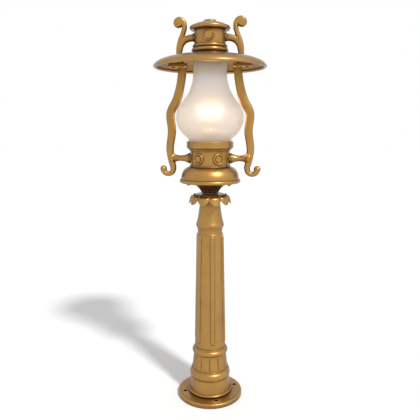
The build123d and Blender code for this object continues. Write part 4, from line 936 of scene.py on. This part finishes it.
cap_loop = [(28.2, 863.1), (31.2, 863.1), (31.2, 869.1), (41.0, 869.1)]
cap_loop += arc((41.0, 869.1), (45.6, 873.8), (41.0, 878.5), 14)
cap_loop += arc((41.0, 878.5), (28.1, 884.1), (15.2, 886.5), 12)
cap_loop += [(3.4, 886.5), (3.4, 883.1), (15.2, 883.1), (28.2, 873.8)]
piece("lift_off_cap", [spin(eased(cap_loop, 0.5, least=30), 200)], "cap", body="cap")

knob_loop = [(AXIS, 872.5), (3.0, 872.5), (3.0, 886.6), (15.2, 886.6), (15.2, 888.2)]
knob_top = flow([(15.2, 888.2), (13.8, 890.4), (9.0, 891.7), (AXIS, 892.1)], 12)
knob_loop += [tuple(p) for p in knob_top[1:]]
piece("flat_knob", [spin(eased(knob_loop, 0.4, least=40), 120)], "cap_knob", body="cap")

# %% [markdown]
# ## Arms and brackets
# The arms were cast from a carved pattern, so their parts flow into each other. Here each is drawn as
# flat-sided tubes, a branch, a pad and a ball that overlap. The voxel remesh then melts them into one
# skin, and a few rounds of smoothing leave the soft fillets that a pattern maker would carve.


# %% Arm helpers
BAR_SIDES = 28


def bar(points, thick, count, square=2.6):
    """A tube of oval section in the plane of the arms. The points hold x, height and width."""
    run = flow(points, count)
    way = np.gradient(run[:, :2], axis=0)
    way /= np.linalg.norm(way, axis=1, keepdims=True)
    aside = np.stack((-way[:, 1], way[:, 0]), axis=1)
    turns = np.linspace(0, math.tau, BAR_SIDES, endpoint=False)
    wide = np.sign(np.cos(turns)) * np.abs(np.cos(turns)) ** (2 / square)
    deep = np.sign(np.sin(turns)) * np.abs(np.sin(turns)) ** (2 / square)
    x = run[:, :1] + aside[:, :1] * wide * run[:, 2:3] / 2
    z = run[:, 1:2] + aside[:, 1:] * wide * run[:, 2:3] / 2
    y = 0 * x + deep * thick / 2
    rings = np.stack((x, y, z), axis=-1)
    faces = [tuple(range(BAR_SIDES)), tuple((count - 1) * BAR_SIDES + k for k in range(BAR_SIDES))]
    for r in range(count - 1):
        a, b = r * BAR_SIDES, (r + 1) * BAR_SIDES
        ring = [(k, (k + 1) % BAR_SIDES) for k in range(BAR_SIDES)]
        faces += [(a + k, a + n, b + n, b + k) for k, n in ring]
    return rings.reshape(-1, 3), faces


def slab(low, high):
    """A plain block, for a pad that is melted into an arm."""
    spans = list(zip(low, high))
    points = [(x, y, z) for z in spans[2] for y in spans[1] for x in spans[0]]
    faces = [(0, 1, 3, 2), (4, 6, 7, 5), (0, 4, 5, 1), (2, 3, 7, 6), (0, 2, 6, 4), (1, 5, 7, 3)]
    return np.array(points, float), faces


def melt(made, voxel, rounds):
    """Join the shells of a piece into one soft skin."""
    join = made.modifiers.new("join", "REMESH")
    join.mode, join.voxel_size = "VOXEL", voxel * MM
    soft = made.modifiers.new("soft", "SMOOTH")
    soft.factor, soft.iterations = 0.5, rounds
    shaped = evaluated_mesh(made)
    made.modifiers.clear()
    shaped.materials.clear()
    shaped.materials.append(made.data.materials[0])
    shaped.shade_smooth()
    old, made.data = made.data, shaped
    bpy.data.meshes.remove(old)
    print(made.name, "melted to", len(shaped.polygons), "faces")


def both_sides(name, shells, node, voxel, rounds):
    """A right piece and its mirror image on the left."""
    for side, word in ((1, "right"), (-1, "left")):
        flipped = [(np.asarray(points) * np.array((side, 1, 1)), faces) for points, faces in shells]
        melt(piece(f"{name}_{word}", flipped, f"{node}_{word}"), voxel, rounds)


def round_bar(loop, columns=48):
    """A shape spun about the X axis at the height of the drum's seats, from distance and radius."""
    points, faces = spin([(r, x) for x, r in loop], columns)
    return np.stack((points[:, 2], points[:, 0], points[:, 1] + SEAT_HEIGHT), axis=1), faces


def cheese(x, height, radius, thick, columns=48):
    """A thick round disc with a crowned edge that faces the front, for the scrolls' ends."""
    loop = [(AXIS, -thick / 2), (radius - 3.5, -thick / 2)]
    loop += arc((radius - 3.5, -thick / 2), (radius, 0.0), (radius - 3.5, thick / 2), 10)
    loop += [(AXIS, thick / 2)]
    points, faces = spin(loop, columns)
    return np.stack((points[:, 0] + x, points[:, 2], points[:, 1] + height), axis=1), faces


print("arm helpers ready")

# %% Arms
arm_line = [
    (61.5, 794.6, 19.6), (64.2, 771.0, 19.6), (68.0, 748.0, 19.8), (76.4, 718.0, 21.4),
    (90.5, 690.0, 20.0), (88.4, 648.0, 19.4), (93.2, 602.0, 17.6), (89.4, 577.75, 16.0),
    (86.1, 560.75, 13.8), (89.56, 552.4, 12.6), (97.9, 548.95, 11.8), (106.2, 552.4, 13.0),
    (109.2, 559.5, 15.0),
]
branch_loop = [(48.5, AXIS), (48.5, 11.6), (51.0, 11.3), (55.0, 9.4), (61.0, 7.4), (68.0, 6.6)]
branch_loop += [(75.0, 7.2), (81.0, 9.2), (86.0, 12.5), (92.0, 12.5), (92.0, AXIS)]
arm_shells = [
    bar(arm_line, 16.0, 150),
    round_bar(branch_loop),
    slab((52.0, -8.5, 790.6), (94.0, 8.5, PAD_TOP)),
    ball((109.4, 0.0, 560.75), 8.1),
]
both_sides("carved_arm", arm_shells, "lower_arm", 0.85, 7)

# %% Brackets
stem_line = [
    (69.0, 808.0, 13.8), (69.4, 817.0, 13.8), (69.2, 834.0, 13.4), (65.6, 850.0, 12.4),
    (60.4, 864.0, 11.2), (57.3, 876.0, 11.4), (58.0, 885.0, 11.6), (62.4, 891.8, 11.0),
    (68.6, 895.2, 8.4), (75.0, 894.4, 6.0),
]
web_line = [
    (68.0, 826.0, 12.0), (65.6, 838.0, 14.0), (58.0, 848.2, 15.0), (48.0, 852.6, 15.0),
    (40.5, 853.8, 16.0), (37.5, 854.2, 17.6),
]
bracket_shells = [bar(stem_line, 14.0, 90), bar(web_line, 13.6, 50), cheese(70.6, 886.6, 11.6, 14.4)]
both_sides("carved_bracket", bracket_shells, "upper_bracket", 0.7, 6)
